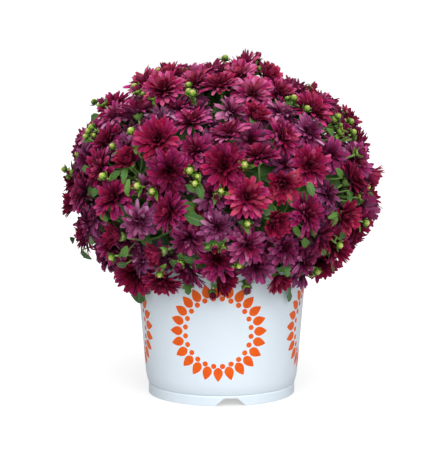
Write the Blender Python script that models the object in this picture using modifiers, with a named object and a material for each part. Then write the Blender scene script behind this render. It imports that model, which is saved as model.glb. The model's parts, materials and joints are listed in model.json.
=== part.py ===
"""A garden chrysanthemum in full bloom in a white plastic pot.

The pot is a thin moulded shell with a foot band, notches in that band and drain holes in its floor. It is
filled with soil, and five rooted cuttings stand in holes in the soil. Each cutting is one green body: its
stem, the branches that part from it, its leaves and its buds. The blooms are gathered in sprays. Each spray
is one body of neighbouring blooms, which hold together where one petal of each runs in under the next
bloom. A branch ends just under one bloom of each spray. Petals stop short of everything that stands beside
them.
"""

import math

import bmesh
import bpy
import numpy as np

# Driving dimensions, in metres and radians: the pot
RIM_RADIUS = 0.0925
POT_HEIGHT = 0.145
WALL_TAPER = 0.084
WALL = 0.0014
LIP_OUT = 0.0018
LIP_TALL = 0.006
BAND_RADIUS = 0.0794
BAND_TALL = 0.0105
WALL_CURVE_TALL, WALL_CURVE_DEEP = 0.013, 0.0022
FLOOR_Z = 0.0095
FLOOR_CORNER = 0.004
SIDES = 36
NOTCH_COUNT = 3
NOTCH_FIRST = math.radians(-83)
NOTCH_WIDE, NOTCH_NARROW, NOTCH_TALL = 0.0325, 0.0135, 0.0082
DRAIN_RADIUS, DRAIN_RING = 0.0045, 0.052
SMOOTH_ANGLE = math.radians(30)

# The soil
SOIL_BELOW_RIM = 0.014
SOIL_RINGS = (0.074, 0.050)
SOIL_LUMP, SOIL_CROWN = 0.0022, 0.003
HOLE_RADIUS = 0.0042
TOUCH_GAP = 0.0004

# The dome that the middles of the blooms lie on: two half ellipsoids that meet at its widest level
DOME_Z = 0.2136
DOME_SIDE = 0.1585
DOME_UP = 0.1335
DOME_DOWN = 0.108
DOME_LOWEST = 0.1365
# Where the dome swells or sinks: (turn, tilt from the top, rise, half width of the swell)
SWELLS = (
    (math.pi, math.radians(38), 0.0075, math.radians(26)),
    (0.0, math.radians(128), -0.0110, math.radians(30)),
    (0.0, math.radians(8), 0.0030, math.radians(14)),
    (math.radians(95), math.radians(60), 0.0050, math.radians(24)),
    (math.radians(-60), math.radians(75), 0.0035, math.radians(22)),
)

# The blooms
SITE_COUNT = 186
LEAFY_SITES = 18
SITE_JITTER = 0.012
SITE_SPACING = 0.040
SETTLE_STEPS, SETTLE_SHARE = 12, 0.3
DEPTH_JITTER = 0.0035
FACING_JITTER = 0.16
LOW_LIFT, LIFT_BELOW = 0.35, 0.4
BLOOM_RADIUS = 0.0232
RADIUS_JITTER = 0.0022
YOUNG_SHARE, YOUNG_SIZE = 0.14, 0.86
BLOOM_BACK = 0.0080
BLOOM_DIMPLE = 0.22
# Rings of a bloom: (petals, reach of a tip, reach of a notch, rise of a tip, rise of a notch)
OUTER_RING = (8, 1.0, 0.70, math.radians(5), math.radians(-4))
INNER_RING = (5, 0.72, 0.46, math.radians(36), math.radians(48))
PETAL_JITTER = 0.08
REACH_RANGE = (0.94, 1.05)
SPRAY_COUNT = 40
SMALL_SPRAY_FAVOUR = 0.0015
HUB_MARGIN, HUB_LOWEST = 0.012, 0.160
LINK_HALF = 0.0036
LINK_DIP = 0.004

# The cuttings
CUTTING_COUNT = 5
CUTTING_RING = 0.030
STEM_FOOT_Z = 0.085
# A stem's path out and up: (distance from the pot's axis, height, radius of the stem there)
STEM_PATH = ((CUTTING_RING, STEM_FOOT_Z, 0.0036), (CUTTING_RING, 0.137, 0.0036))
STEM_PATH += ((0.038, 0.166, 0.0030), (0.044, 0.200, 0.0022))
BRANCH_RADII = (0.0019, 0.0014, 0.0012)
# Where branches part from a stem: share of a bloom's height over HUB_LOWEST, and distance from both ends
BRANCH_RISE = 0.45
BRANCH_MARGIN = (0.005, 0.003)
BRANCH_END = 0.016
STALK_RADIUS = 0.0011
GREEN_SPOTS = 6000
LINK_WEIGHT = 1.6
LEAF_COUNT = 42
LEAF_LENGTH = 0.033
LEAF_WIDTH = 0.012
LEAF_ROOM = 0.0040
LEAF_THICK, LEAF_NARROWEST = 0.0018, 0.0010
LEAF_TURNS = 18
LOW_LEAN = 0.2
LEAF_SPACING, BUD_SPACING = 0.018, 0.015
# Outline of a leaf's blade: (share of its length, share of its half width)
LEAF_OUTLINE = ((0.0, 0.10), (0.24, 0.62), (0.38, 0.34), (0.60, 1.0), (0.73, 0.46))
BUD_COUNT = 30
BUD_RADIUS = 0.0039
BUD_HEIGHTS = (0.0, 0.0052, 0.0095)
STALK_DEEP = 0.026
OVER_RIM, OFF_RIM = 0.0135, 0.004
LOW_SPOT = POT_HEIGHT + 0.020

GAP = 0.0005
SEED = 11
GOLDEN_ANGLE = math.pi * (3 - math.sqrt(5))
UP = np.array([0.0, 0.0, 1.0])


# Vectors


def unit(vectors):
    return vectors / np.linalg.norm(vectors, axis=-1, keepdims=True)


def across(axis):
    """Two unit vectors square to axis and to each other."""
    helper = UP if abs(axis[2]) < 0.9 else np.array([1.0, 0.0, 0.0])
    first = unit(np.cross(helper, axis))
    return first, np.cross(axis, first)


def nearest_on(start, end, points):
    """For each point, the place on the segment from start to end that is nearest to it."""
    along = end - start
    share = np.clip((points - start) @ along / (along @ along), 0.0, 1.0)
    return start + share[:, None] * along


# Meshes


def new_object(name, mesh, home):
    obj = bpy.data.objects.new(name, mesh)
    home.objects.link(obj)
    return obj


def mesh_of(bm):
    bmesh.ops.recalc_face_normals(bm, faces=bm.faces)
    mesh = bpy.data.meshes.new("piece")
    bm.to_mesh(mesh)
    bm.free()
    return mesh


def lofted(low, rings, high):
    """A closed body: from the point low out to each ring in turn, and in to the point high.

    A ring is a list of (turn, point) in rising order of turn. Two rings may differ in their number of points.
    """
    bm = bmesh.new()
    made = [[(turn, bm.verts.new(point)) for turn, point in ring] for ring in rings]
    for ring, pole in ((made[0], low), (made[-1], high)):
        middle = bm.verts.new(pole)
        for (_, first), (_, second) in zip(ring, ring[1:] + ring[:1]):
            bm.faces.new((first, second, middle))
    for lower, upper in zip(made, made[1:]):
        i = j = 0
        while i < len(lower) or j < len(upper):
            low_ahead, high_ahead = turn_at(lower, i + 1), turn_at(upper, j + 1)
            first, second = lower[i % len(lower)][1], upper[j % len(upper)][1]
            if j == len(upper) or (i < len(lower) and low_ahead < high_ahead):
                i += 1
                bm.faces.new((first, lower[i % len(lower)][1], second))
            else:
                j += 1
                bm.faces.new((first, upper[j % len(upper)][1], second))
    return mesh_of(bm)


def turn_at(ring, i):
    return ring[i % len(ring)][0] + 2 * math.pi * (i // len(ring))


def tube(points, radii, sides):
    """A closed stalk of round section, whose radius changes from point to point."""
    curve = bpy.data.curves.new("stalk", "CURVE")
    curve.dimensions = "3D"
    curve.bevel_depth = 1.0
    curve.bevel_resolution = sides // 2 - 2
    curve.use_fill_caps = True
    spline = curve.splines.new("POLY")
    spline.points.add(len(points) - 1)
    for spot, point, radius in zip(spline.points, points, radii):
        spot.co = (*point, 1.0)
        spot.radius = radius
    obj = bpy.data.objects.new("stalk", curve)
    bpy.context.scene.collection.objects.link(obj)
    mesh = evaluated_mesh(obj)
    bpy.data.objects.remove(obj)
    bm = bmesh.new()
    bm.from_mesh(mesh)
    bmesh.ops.remove_doubles(bm, verts=bm.verts, dist=0.00002)
    return mesh_of(bm)


def evaluated_mesh(obj):
    graph = bpy.context.evaluated_depsgraph_get()
    return bpy.data.meshes.new_from_object(obj.evaluated_get(graph))


def combine(obj, operation, solver, others):
    """Applies one Boolean of obj with all the other meshes."""
    helpers = bpy.data.collections.new("helpers")
    bpy.context.scene.collection.children.link(helpers)
    for i, mesh in enumerate(others):
        new_object(f"helper_{i}", mesh, helpers)
    change = obj.modifiers.new("combine", "BOOLEAN")
    change.operation = operation
    change.operand_type = "COLLECTION"
    change.collection = helpers
    change.solver = solver
    result = evaluated_mesh(obj)
    obj.modifiers.clear()
    obj.data = result
    for helper in list(helpers.objects):
        bpy.data.objects.remove(helper)
    bpy.data.collections.remove(helpers)


def fused(name, meshes, home, finish):
    """One object made of overlapping meshes."""
    obj = new_object(name, meshes[0], home)
    if len(meshes) > 1:
        combine(obj, "UNION", "MANIFOLD", meshes[1:])
    obj.data.materials.clear()
    obj.data.materials.append(finish)
    return obj


# The pot and the soil


def wall_radius(z):
    """Outer radius of the pot's wall: a plain taper that curves in above the foot band."""
    taper = RIM_RADIUS - WALL_TAPER * (POT_HEIGHT - z)
    curve = max(0.0, 1 - (z - BAND_TALL) / WALL_CURVE_TALL)
    return taper - WALL_CURVE_DEEP * curve**2


def turned(name, profile, home):
    """A closed profile of (radius, height) turned round the Z axis. It runs down its outer side."""
    bm = bmesh.new()
    ring = [bm.verts.new((radius, 0.0, z)) for radius, z in profile]
    for first, second in zip(ring, ring[1:]):
        bm.edges.new((first, second))
    mesh = bpy.data.meshes.new(name)
    bm.to_mesh(mesh)
    bm.free()
    obj = new_object(name, mesh, home)
    screw = obj.modifiers.new("turn", "SCREW")
    screw.axis = "Z"
    screw.steps = screw.render_steps = SIDES
    screw.use_merge_vertices = True
    screw.merge_threshold = 0.00001
    obj.data = evaluated_mesh(obj)
    obj.modifiers.clear()
    return obj


def pin_mesh(angle, ring, radius, low, high, sides):
    """An upright pin with its axis on the ring, for a hole."""
    bm = bmesh.new()
    tall = high - low
    bmesh.ops.create_cone(bm, cap_ends=True, segments=sides, radius1=radius, radius2=radius, depth=tall)
    for vert in bm.verts:
        vert.co.x += ring * math.cos(angle)
        vert.co.y += ring * math.sin(angle)
        vert.co.z += (high + low) / 2
    return mesh_of(bm)


def notch_mesh(angle):
    """A wedge, wide below and narrow above, that crosses the foot band at this angle."""
    bm = bmesh.new()
    bmesh.ops.create_cube(bm, size=1.0)
    spread = (NOTCH_WIDE - NOTCH_NARROW) / NOTCH_TALL
    c, s = math.cos(angle), math.sin(angle)
    for vert in bm.verts:
        z = NOTCH_TALL if vert.co.z > 0 else -NOTCH_TALL / 2
        width = NOTCH_NARROW + spread * (NOTCH_TALL - z)
        x = BAND_RADIUS + math.copysign(0.012, vert.co.x)
        y = math.copysign(width / 2, vert.co.y)
        vert.co = (x * c - y * s, x * s + y * c, z)
    return mesh_of(bm)


def notch_angles():
    return [NOTCH_FIRST + 2 * math.pi * i / NOTCH_COUNT for i in range(NOTCH_COUNT)]


def make_pot(home, finish):
    lip = RIM_RADIUS + LIP_OUT
    curve_top = BAND_TALL + WALL_CURVE_TALL
    curve_low = BAND_TALL + WALL_CURVE_TALL * 0.35
    inner_foot = BAND_RADIUS - 1.5 * WALL
    profile = [(RIM_RADIUS - WALL, POT_HEIGHT - LIP_TALL / 3)]
    profile += [(RIM_RADIUS - WALL / 2, POT_HEIGHT), (lip - WALL / 3, POT_HEIGHT)]
    profile += [(lip, POT_HEIGHT - LIP_TALL / 4), (lip, POT_HEIGHT - LIP_TALL)]
    outer_levels = (POT_HEIGHT - LIP_TALL, curve_top, curve_low, BAND_TALL + 0.0004)
    profile += [(wall_radius(z), z) for z in outer_levels]
    profile += [(BAND_RADIUS, BAND_TALL - 0.0006), (BAND_RADIUS, 0.0), (inner_foot, 0.0)]
    profile += [(inner_foot, FLOOR_Z), (0.0, FLOOR_Z), (0.0, FLOOR_Z + WALL)]
    profile += [(wall_radius(curve_low) - WALL - FLOOR_CORNER, FLOOR_Z + WALL)]
    profile += [(wall_radius(z) - WALL, z) for z in (curve_low, curve_top)]
    pot = turned("pot", profile + profile[:1], home)
    cutters = [notch_mesh(angle) for angle in notch_angles()]
    cutters += [
        pin_mesh(angle, DRAIN_RING, DRAIN_RADIUS, FLOOR_Z - WALL, FLOOR_Z + 2 * WALL, 8)
        for angle in notch_angles()
    ]
    combine(pot, "DIFFERENCE", "EXACT", cutters)
    pot.data.materials.append(finish)
    pot.data.shade_smooth()
    pot.data.set_sharp_from_angle(angle=SMOOTH_ANGLE)
    return pot


def make_soil(home, finish):
    """A filling that keeps off the pot all round, with a lumpy top and a hole for each stem."""
    random = np.random.RandomState(SEED + 1)
    top = POT_HEIGHT - SOIL_BELOW_RIM
    bottom = FLOOR_Z + WALL + TOUCH_GAP
    curve_top = BAND_TALL + WALL_CURVE_TALL
    curve_low = BAND_TALL + WALL_CURVE_TALL * 0.35
    levels = [(wall_radius(curve_low) - WALL - FLOOR_CORNER - TOUCH_GAP, bottom, SIDES, 0.0)]
    levels += [(wall_radius(z) - WALL - TOUCH_GAP, z, SIDES, 0.0) for z in (curve_low, curve_top, top)]
    levels += [(SOIL_RINGS[0], top + SOIL_CROWN / 3, SIDES // 2, SOIL_LUMP)]
    levels += [(SOIL_RINGS[1], top + SOIL_CROWN * 2 / 3, SIDES // 3, SOIL_LUMP)]
    rings = []
    for radius, level, sides, lump in levels:
        turns = [2 * math.pi * i / sides for i in range(sides)]
        heights = level + lump * (random.rand(sides) - 0.5)
        places = [(radius * math.cos(turn), radius * math.sin(turn), z) for turn, z in zip(turns, heights)]
        rings.append(list(zip(turns, places)))
    soil = new_object("soil", lofted((0.0, 0.0, bottom), rings, (0.0, 0.0, top + SOIL_CROWN)), home)
    holes = [
        pin_mesh(cutting_angle(i), CUTTING_RING, HOLE_RADIUS, STEM_FOOT_Z - TOUCH_GAP, POT_HEIGHT, 8)
        for i in range(CUTTING_COUNT)
    ]
    combine(soil, "DIFFERENCE", "EXACT", holes)
    soil.data.materials.append(finish)
    return soil


# Where everything on the dome stands


def dome_point(tilt, turn):
    """Point of the dome at this tilt from its top and this turn round the pot's axis."""
    height = np.where(np.cos(tilt) > 0, DOME_UP, DOME_DOWN) * np.cos(tilt)
    reach = DOME_SIDE * np.sin(tilt)
    return np.stack([reach * np.cos(turn), reach * np.sin(turn), DOME_Z + height], axis=-1)


def on_dome(points):
    """The points moved straight from the dome's middle on to the dome, and up to its lowest level."""
    x, y, z = (points - DOME_Z * UP).T
    height = np.where(z > 0, DOME_UP, DOME_DOWN)
    tilt = np.arctan2(np.hypot(x, y) / DOME_SIDE, z / height)
    return dome_point(np.minimum(tilt, lowest_tilt(DOME_LOWEST)), np.arctan2(y, x))


def swollen(points):
    """The points moved along the dome's normals by the swells that they are near."""
    normals = dome_normal(points)
    rise = np.zeros(len(points))
    for turn, tilt, height, width in SWELLS:
        flat = math.sin(tilt)
        toward = np.array([flat * math.cos(turn), flat * math.sin(turn), math.cos(tilt)])
        from_middle = unit(points - DOME_Z * UP)
        apart = np.arccos(np.clip(from_middle @ toward, -1.0, 1.0))
        rise += height * np.exp(-((apart / width) ** 2))
    return points + normals * rise[:, None]


def lowest_tilt(level):
    return math.pi - math.acos((DOME_Z - level) / DOME_DOWN)


def dome_normal(points):
    height = np.where(points[:, 2] > DOME_Z, DOME_UP, DOME_DOWN)
    x, y = points[:, 0] / DOME_SIDE**2, points[:, 1] / DOME_SIDE**2
    return unit(np.stack([x, y, (points[:, 2] - DOME_Z) / height**2], axis=-1))


def spread_over_dome(count, lowest_z=DOME_LOWEST):
    """Tilts and turns of a spiral that gives each of its points the same share of the dome's surface."""
    tilts = np.linspace(0.0, lowest_tilt(lowest_z), 2001)
    height = np.where(np.cos(tilts) > 0, DOME_UP, DOME_DOWN)
    girth = np.sin(tilts) * np.hypot(DOME_SIDE * np.cos(tilts), height * np.sin(tilts))
    share = np.concatenate([[0.0], np.cumsum((girth[1:] + girth[:-1]) / 2)])
    order = np.arange(count)
    return np.interp((order + 0.5) / count, share / share[-1], tilts), order * GOLDEN_ANGLE


def cutting_angle(i):
    return 2 * math.pi * (i + 0.5) / CUTTING_COUNT


def sector(point):
    """Which cutting's share of the pot a point is in, and its distance from the sides of that share."""
    share = 2 * math.pi / CUTTING_COUNT
    turn = math.atan2(point[1], point[0]) % (2 * math.pi)
    index = int(turn // share)
    to_side = min(turn - index * share, (index + 1) * share - turn)
    return index, math.hypot(point[0], point[1]) * math.sin(to_side)


class Plant:
    """Places of the blooms, leaves, buds and branches, and what keeps each bloom off its neighbours."""

    def __init__(self):
        self.random = np.random.RandomState(SEED)
        self.place_blooms()
        self.gather_sprays()
        self.place_branches()
        self.place_greens()

    def place_blooms(self):
        """Sites that push each other apart until they are evenly but not regularly spread.

        Some of them are left to the leaves.
        """
        random = self.random
        tilts, turns = spread_over_dome(SITE_COUNT)
        sites = dome_point(tilts, turns) + random.uniform(-SITE_JITTER, SITE_JITTER, (SITE_COUNT, 3))
        for _ in range(SETTLE_STEPS):
            away = sites[:, None] - sites[None]
            length = np.linalg.norm(away, axis=-1, keepdims=True) + np.eye(SITE_COUNT)[:, :, None]
            push = np.maximum(0.0, SITE_SPACING - length) * away / length
            sites = on_dome(sites + SETTLE_SHARE * push.sum(axis=1))
        leafy = random.permutation(SITE_COUNT)[:LEAFY_SITES]
        spots = np.delete(sites, leafy, axis=0)
        count = len(spots)
        out = dome_normal(spots)
        self.middle = swollen(spots) + out * random.uniform(-DEPTH_JITTER, DEPTH_JITTER, (count, 1))
        lift = LOW_LIFT * np.maximum(0.0, LIFT_BELOW - out[:, 2:])
        self.facing = unit(out + lift * UP + FACING_JITTER * random.randn(count, 3))
        self.radius = BLOOM_RADIUS + random.uniform(-RADIUS_JITTER, RADIUS_JITTER, count)
        self.radius[random.rand(count) < YOUNG_SHARE] *= YOUNG_SIZE
        self.turn = random.uniform(0.0, 2 * math.pi, count)

    def gather_sprays(self):
        """Sprays grow from hubs that a branch can reach.

        The free bloom that is nearest to any spray joins it, with some favour to the smaller sprays. It turns
        one petal to the bloom of that spray that it is nearest to.
        """
        middle = self.middle
        apart = np.linalg.norm(middle[:, None] - middle[None], axis=-1)
        margin = np.array([sector(spot)[1] for spot in middle])
        awkward = np.maximum(0.0, HUB_MARGIN - margin) + np.maximum(0.0, HUB_LOWEST - middle[:, 2])
        hubs = []
        for seat in dome_point(*spread_over_dome(SPRAY_COUNT)):
            cost = np.linalg.norm(middle - seat, axis=1) + 2 * awkward
            cost[hubs] = np.inf
            hubs.append(int(cost.argmin()))
        self.sprays = [[hub] for hub in hubs]
        self.link = {}
        home = {hub: i for i, hub in enumerate(hubs)}
        free = set(range(len(middle))) - set(hubs)
        while free:
            favour = {b: SMALL_SPRAY_FAVOUR * len(self.sprays[home[b]]) for b in home}
            _, new, old = min((apart[a, b] + favour[b], a, b) for a in free for b in home)
            home[new] = home[old]
            self.link[new] = old
            self.sprays[home[old]].append(new)
            free.remove(new)

    def place_branches(self):
        """A stem for each cutting, and from it a branch to the back of the first bloom of each spray."""
        self.stems, self.branches = [], [[] for _ in range(CUTTING_COUNT)]
        for i in range(CUTTING_COUNT):
            c, s = math.cos(cutting_angle(i)), math.sin(cutting_angle(i))
            self.stems.append(np.array([[r * c, r * s, z] for r, z, _ in STEM_PATH]))
        for spray in self.sprays:
            hub = spray[0]
            tip = self.middle[hub] - self.facing[hub] * (BLOOM_BACK + TOUCH_GAP)
            index, _ = sector(tip)
            stem = self.stems[index]
            lowest, highest = POT_HEIGHT + BRANCH_MARGIN[0], stem[-1, 2] - BRANCH_MARGIN[1]
            height = np.clip(lowest + BRANCH_RISE * (tip[2] - HUB_LOWEST), lowest, highest)
            root = np.array([np.interp(height, stem[:, 2], stem[:, k]) for k in range(3)])
            path = np.array([root, tip - self.facing[hub] * BRANCH_END, tip])
            self.branches[index].append((hub, path))

    def place_greens(self):
        """Leaves and buds take the widest gaps between the blooms, the widest first."""
        self.leaves, self.buds = [], []
        spots = dome_point(*spread_over_dome(GREEN_SPOTS, DOME_LOWEST - 0.005))
        out = dome_normal(spots)
        spots = swollen(spots)
        room = np.linalg.norm(spots[:, None] - self.middle[None], axis=-1).min(axis=1)
        for a, b in self.link.items():
            seen = nearest_on(self.middle[a], self.middle[b], spots)
            room = np.minimum(room, LINK_WEIGHT * np.linalg.norm(spots - seen, axis=1))
        room[[sector(spot)[1] < HUB_MARGIN / 2 for spot in spots]] = 0.0
        for i in range(LEAF_COUNT + BUD_COUNT):
            best = int(room.argmax())
            is_bud = len(self.buds) < BUD_COUNT * i / (LEAF_COUNT + BUD_COUNT) - 2
            (self.buds if is_bud else self.leaves).append((spots[best], out[best]))
            taken = BUD_SPACING if is_bud else LEAF_SPACING
            room[np.linalg.norm(spots - spots[best], axis=1) < taken] = 0.0

    def stalk(self, spot, way):
        """The cutting that a spot belongs to, where its nearest branch is, and a bend under the spot.

        A stalk to a low spot bends over the pot's rim.
        """
        index, _ = sector(spot)
        bend = spot - way * STALK_DEEP
        if spot[2] < LOW_SPOT:
            outward = unit(spot * (1, 1, 0))
            bend = outward * (RIM_RADIUS + LIP_OUT + OFF_RIM) + (POT_HEIGHT + OVER_RIM) * UP
        roots = np.array([nearest_on(path[0], path[1], bend[None])[0] for _, path in self.branches[index]])
        length = np.linalg.norm(roots - bend, axis=1) + 0.5 * np.maximum(0.0, roots[:, 2] - bend[2])
        return index, roots[length.argmin()], bend

    def keep_apart(self):
        """The planes that each bloom stays behind: their normals, and their distances from its middle."""
        self.planes = [([], []) for _ in self.middle]
        for i, middle in enumerate(self.middle):
            away = self.middle - middle
            length = np.linalg.norm(away, axis=1)
            for j in np.flatnonzero((length > 0) & (length < 2.2 * BLOOM_RADIUS)):
                self.add_plane(i, away[j] / length[j], length[j] / 2 - GAP / 2)
            if middle[2] < LOW_SPOT:
                outward = unit(middle * (1, 1, 0))
                self.add_plane(i, -outward, outward @ middle - RIM_RADIUS - LIP_OUT - GAP)
        for a, b in self.link.items():
            self.keep_off(self.middle[a], self.middle[b], LINK_HALF, besides=(a, b))
        for branches in self.branches:
            for hub, path in branches:
                self.keep_off(path[0], path[1], BRANCH_RADII[0])
                self.keep_off(path[1], path[2], BRANCH_RADII[1], besides=(hub,))

    def add_plane(self, i, normal, offset):
        self.planes[i][0].append(normal)
        self.planes[i][1].append(offset)

    def keep_off(self, start, end, thickness, besides=()):
        """Every bloom but those besides stays off the stretch from start to end, which is this thick."""
        away = nearest_on(start, end, self.middle) - self.middle
        length = np.linalg.norm(away, axis=1)
        for i in set(np.flatnonzero(length < 1.3 * BLOOM_RADIUS)) - set(besides):
            self.add_plane(i, away[i] / length[i], length[i] - thickness - GAP)


# The blooms, leaves and buds


def shortened(plant, i, ways, reaches):
    """Reaches from the middle of bloom i along unit ways, none of which passes a plane of that bloom."""
    normals, offsets = np.array(plant.planes[i][0]), np.array(plant.planes[i][1])
    slope = ways @ normals.T
    allowed = np.where(slope > 1e-6, offsets / np.maximum(slope, 1e-6), np.inf)
    return np.minimum(reaches, allowed.min(axis=1))


def bloom_mesh(plant, i, random):
    """Two rings of petal tips with notches between them, round a sunken middle and over a blunt back."""
    middle, facing, radius = plant.middle[i], plant.facing[i], plant.radius[i]
    first, second = across(facing)
    start = plant.turn[i]
    linked = i in plant.link
    if linked:
        toward = plant.middle[plant.link[i]] - middle
        start = math.atan2(toward @ second, toward @ first)
    rings = []
    for count, tip_reach, notch_reach, tip_rise, notch_rise in (OUTER_RING, INNER_RING):
        is_tip = np.arange(2 * count) % 2 == 0
        turns = start + math.pi * np.arange(2 * count) / count
        turns += random.uniform(-PETAL_JITTER, PETAL_JITTER, 2 * count)
        rises = np.where(is_tip, tip_rise, notch_rise)
        rises += random.uniform(-PETAL_JITTER, PETAL_JITTER, 2 * count)
        reaches = radius * np.where(is_tip, tip_reach, notch_reach) * random.uniform(*REACH_RANGE, 2 * count)
        flat = np.outer(np.cos(turns), first) + np.outer(np.sin(turns), second)
        ways = flat * np.cos(rises)[:, None] + np.outer(np.sin(rises), facing)
        points = middle + ways * shortened(plant, i, ways, reaches)[:, None]
        rings.append(list(zip(turns, points)))
        start += math.pi / OUTER_RING[0]
    if linked:
        mate = plant.link[i]
        rings[0][0] = (rings[0][0][0], plant.middle[mate] - plant.facing[mate] * LINK_DIP)
    ends = np.array([-facing, facing])
    back, front = shortened(plant, i, ends, np.array([BLOOM_BACK, radius * BLOOM_DIMPLE]))
    return lofted(middle - facing * back, rings, middle + facing * front)


def round_ring(spot, way, side, radius, count):
    """A ring of count points round a stalk that runs along way."""
    other = unit(np.cross(way, side))
    turns = [2 * math.pi * k / count for k in range(count)]
    return [(turn, spot + radius * (side * math.cos(turn) + other * math.sin(turn))) for turn in turns]


def stalk_rings(root, bend, end, side):
    """Rings of a stalk from inside a branch, round its bend, to just before its end."""
    first = unit(bend - root)
    rings = []
    for spot, way in ((root, first), (bend, unit(first + unit(end - bend)))):
        side = unit(side - way * (side @ way))
        rings.append(round_ring(spot, way, side, STALK_RADIUS, 3))
    return rings


def make_leaf(plant, spot, way, random):
    """A lobed blade with a raised midrib, on a stalk that runs back to a branch."""
    index, root, bend = plant.stalk(spot, way)
    is_low = spot[2] < LOW_SPOT
    outward = unit(spot * (1, 1, 0))
    if is_low:
        lean = unit(0.5 * way * (1, 1, 0) - 0.7 * UP + 0.2 * random.randn(3))
        lean = unit(lean + outward * max(0.0, LOW_LEAN - lean @ outward))
        base = spot - lean * LEAF_LENGTH * 0.15
    else:
        lean = unit(way - 0.15 * UP + 0.25 * random.randn(3))
        base = spot - lean * LEAF_LENGTH * 0.5
    tip = base + lean * LEAF_LENGTH
    away = nearest_on(base, tip, plant.middle) - plant.middle
    length = np.linalg.norm(away, axis=1)
    close = np.flatnonzero(length < 2.5 * BLOOM_RADIUS)
    normals = away[close] / length[close, None]
    offsets = length[close] - LEAF_ROOM
    for i, normal, offset in zip(close, normals, offsets):
        plant.add_plane(i, normal, offset - GAP)
    plant.keep_off(root, bend, STALK_RADIUS)
    plant.keep_off(bend, base, STALK_RADIUS)
    limits = offsets + np.einsum("ij,ij->i", normals, plant.middle[close])
    if is_low:
        normals = np.vstack([normals, outward])
        limits = np.append(limits, RIM_RADIUS + LIP_OUT + LEAF_THICK)
    first, second = across(lean)
    widest = 0.0
    for k in range(LEAF_TURNS):
        angle = math.pi * k / LEAF_TURNS
        try_way = first * math.cos(angle) + second * math.sin(angle)
        try_widths = half_widths(base, tip, try_way, normals, limits)
        if try_widths.sum() > widest:
            widest, width_way, widths = try_widths.sum(), try_way, try_widths
    if np.cross(lean, width_way) @ UP < 0:
        width_way, widths = -width_way, widths[::-1]
    normal = np.cross(lean, width_way)
    rings = stalk_rings(root, bend, base, width_way)
    for (share, _), left, right in zip(LEAF_OUTLINE, widths[0], widths[1]):
        rib = base + (tip - base) * share
        thick = LEAF_THICK * (1.0 - 0.5 * share)
        ring = [rib + width_way * left, rib + normal * thick, rib - width_way * right]
        rings.append([(2 * math.pi * k / 3, point) for k, point in enumerate(ring)])
    return index, lofted(root - unit(bend - root) * STALK_RADIUS, rings, tip)


def half_widths(base, tip, width_way, normals, limits):
    """Half widths of the blade to both sides at each place of its outline, kept off the blooms."""
    widths = np.zeros((2, len(LEAF_OUTLINE)))
    for row, sign in enumerate((1, -1)):
        for column, (share, width) in enumerate(LEAF_OUTLINE):
            on_rib = base + (tip - base) * share
            slope = normals @ (sign * width_way)
            spare = normals @ on_rib - limits
            allowed = np.where(slope < -1e-6, spare / np.maximum(-slope, 1e-6), np.inf).min()
            widths[row, column] = max(LEAF_NARROWEST, min(width * LEAF_WIDTH, allowed))
    return widths


def make_bud(plant, spot, way, random):
    """A closed bud: a ball drawn out to a blunt point, on a stalk that runs back to a branch."""
    index, root, bend = plant.stalk(spot, way)
    lean = unit(way + 0.10 * random.randn(3))
    size = random.uniform(0.85, 1.1)
    start = spot + lean * random.uniform(-0.002, 0.006)
    foot, belly, top = (start + lean * height * size for height in BUD_HEIGHTS)
    plant.keep_off(root, bend, STALK_RADIUS)
    plant.keep_off(bend, foot, STALK_RADIUS)
    plant.keep_off(foot, top, BUD_RADIUS * size)
    side = across(lean)[0]
    rings = stalk_rings(root, bend, foot, side) + [round_ring(foot, lean, side, STALK_RADIUS, 3)]
    rings.append(round_ring(belly, lean, side, BUD_RADIUS * size, 6))
    return index, lofted(root - unit(bend - root) * STALK_RADIUS, rings, top)


def make_cuttings(plant, home, finish):
    random = np.random.RandomState(SEED + 2)
    pieces = [[tube(stem, [radius for _, _, radius in STEM_PATH], 6)] for stem in plant.stems]
    for i, branches in enumerate(plant.branches):
        pieces[i] += [tube(path, BRANCH_RADII, 4) for _, path in branches]
    for make, places in ((make_leaf, plant.leaves), (make_bud, plant.buds)):
        for spot, way in places:
            index, mesh = make(plant, spot, way, random)
            pieces[index].append(mesh)
    for i, meshes in enumerate(pieces):
        fused(f"cutting_{i + 1}", meshes, home, finish)


def make_sprays(plant, home, finish):
    random = np.random.RandomState(SEED + 3)
    for i, spray in enumerate(plant.sprays):
        fused(f"spray_{i + 1:02d}", [bloom_mesh(plant, bloom, random) for bloom in spray], home, finish)


def material(name, colour, roughness):
    made = bpy.data.materials.new(name)
    made.use_nodes = True
    shader = made.node_tree.nodes["Principled BSDF"]
    shader.inputs["Base Color"].default_value = (*colour, 1.0)
    shader.inputs["Roughness"].default_value = roughness
    shader.inputs["Metallic"].default_value = 0.0
    return made


def main():
    for obj in list(bpy.data.objects):
        bpy.data.objects.remove(obj)
    home = bpy.data.collections.new("pot_chrysanthemum")
    bpy.context.scene.collection.children.link(home)
    make_pot(home, material("pot_plastic", (0.86, 0.89, 0.93), 0.35))
    make_soil(home, material("potting_soil", (0.06, 0.04, 0.03), 0.95))
    plant = Plant()
    plant.keep_apart()
    make_cuttings(plant, home, material("greens", (0.13, 0.28, 0.05), 0.55))
    make_sprays(plant, home, material("petals", (0.30, 0.02, 0.10), 0.6))


main()
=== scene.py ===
import json
import math

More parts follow.
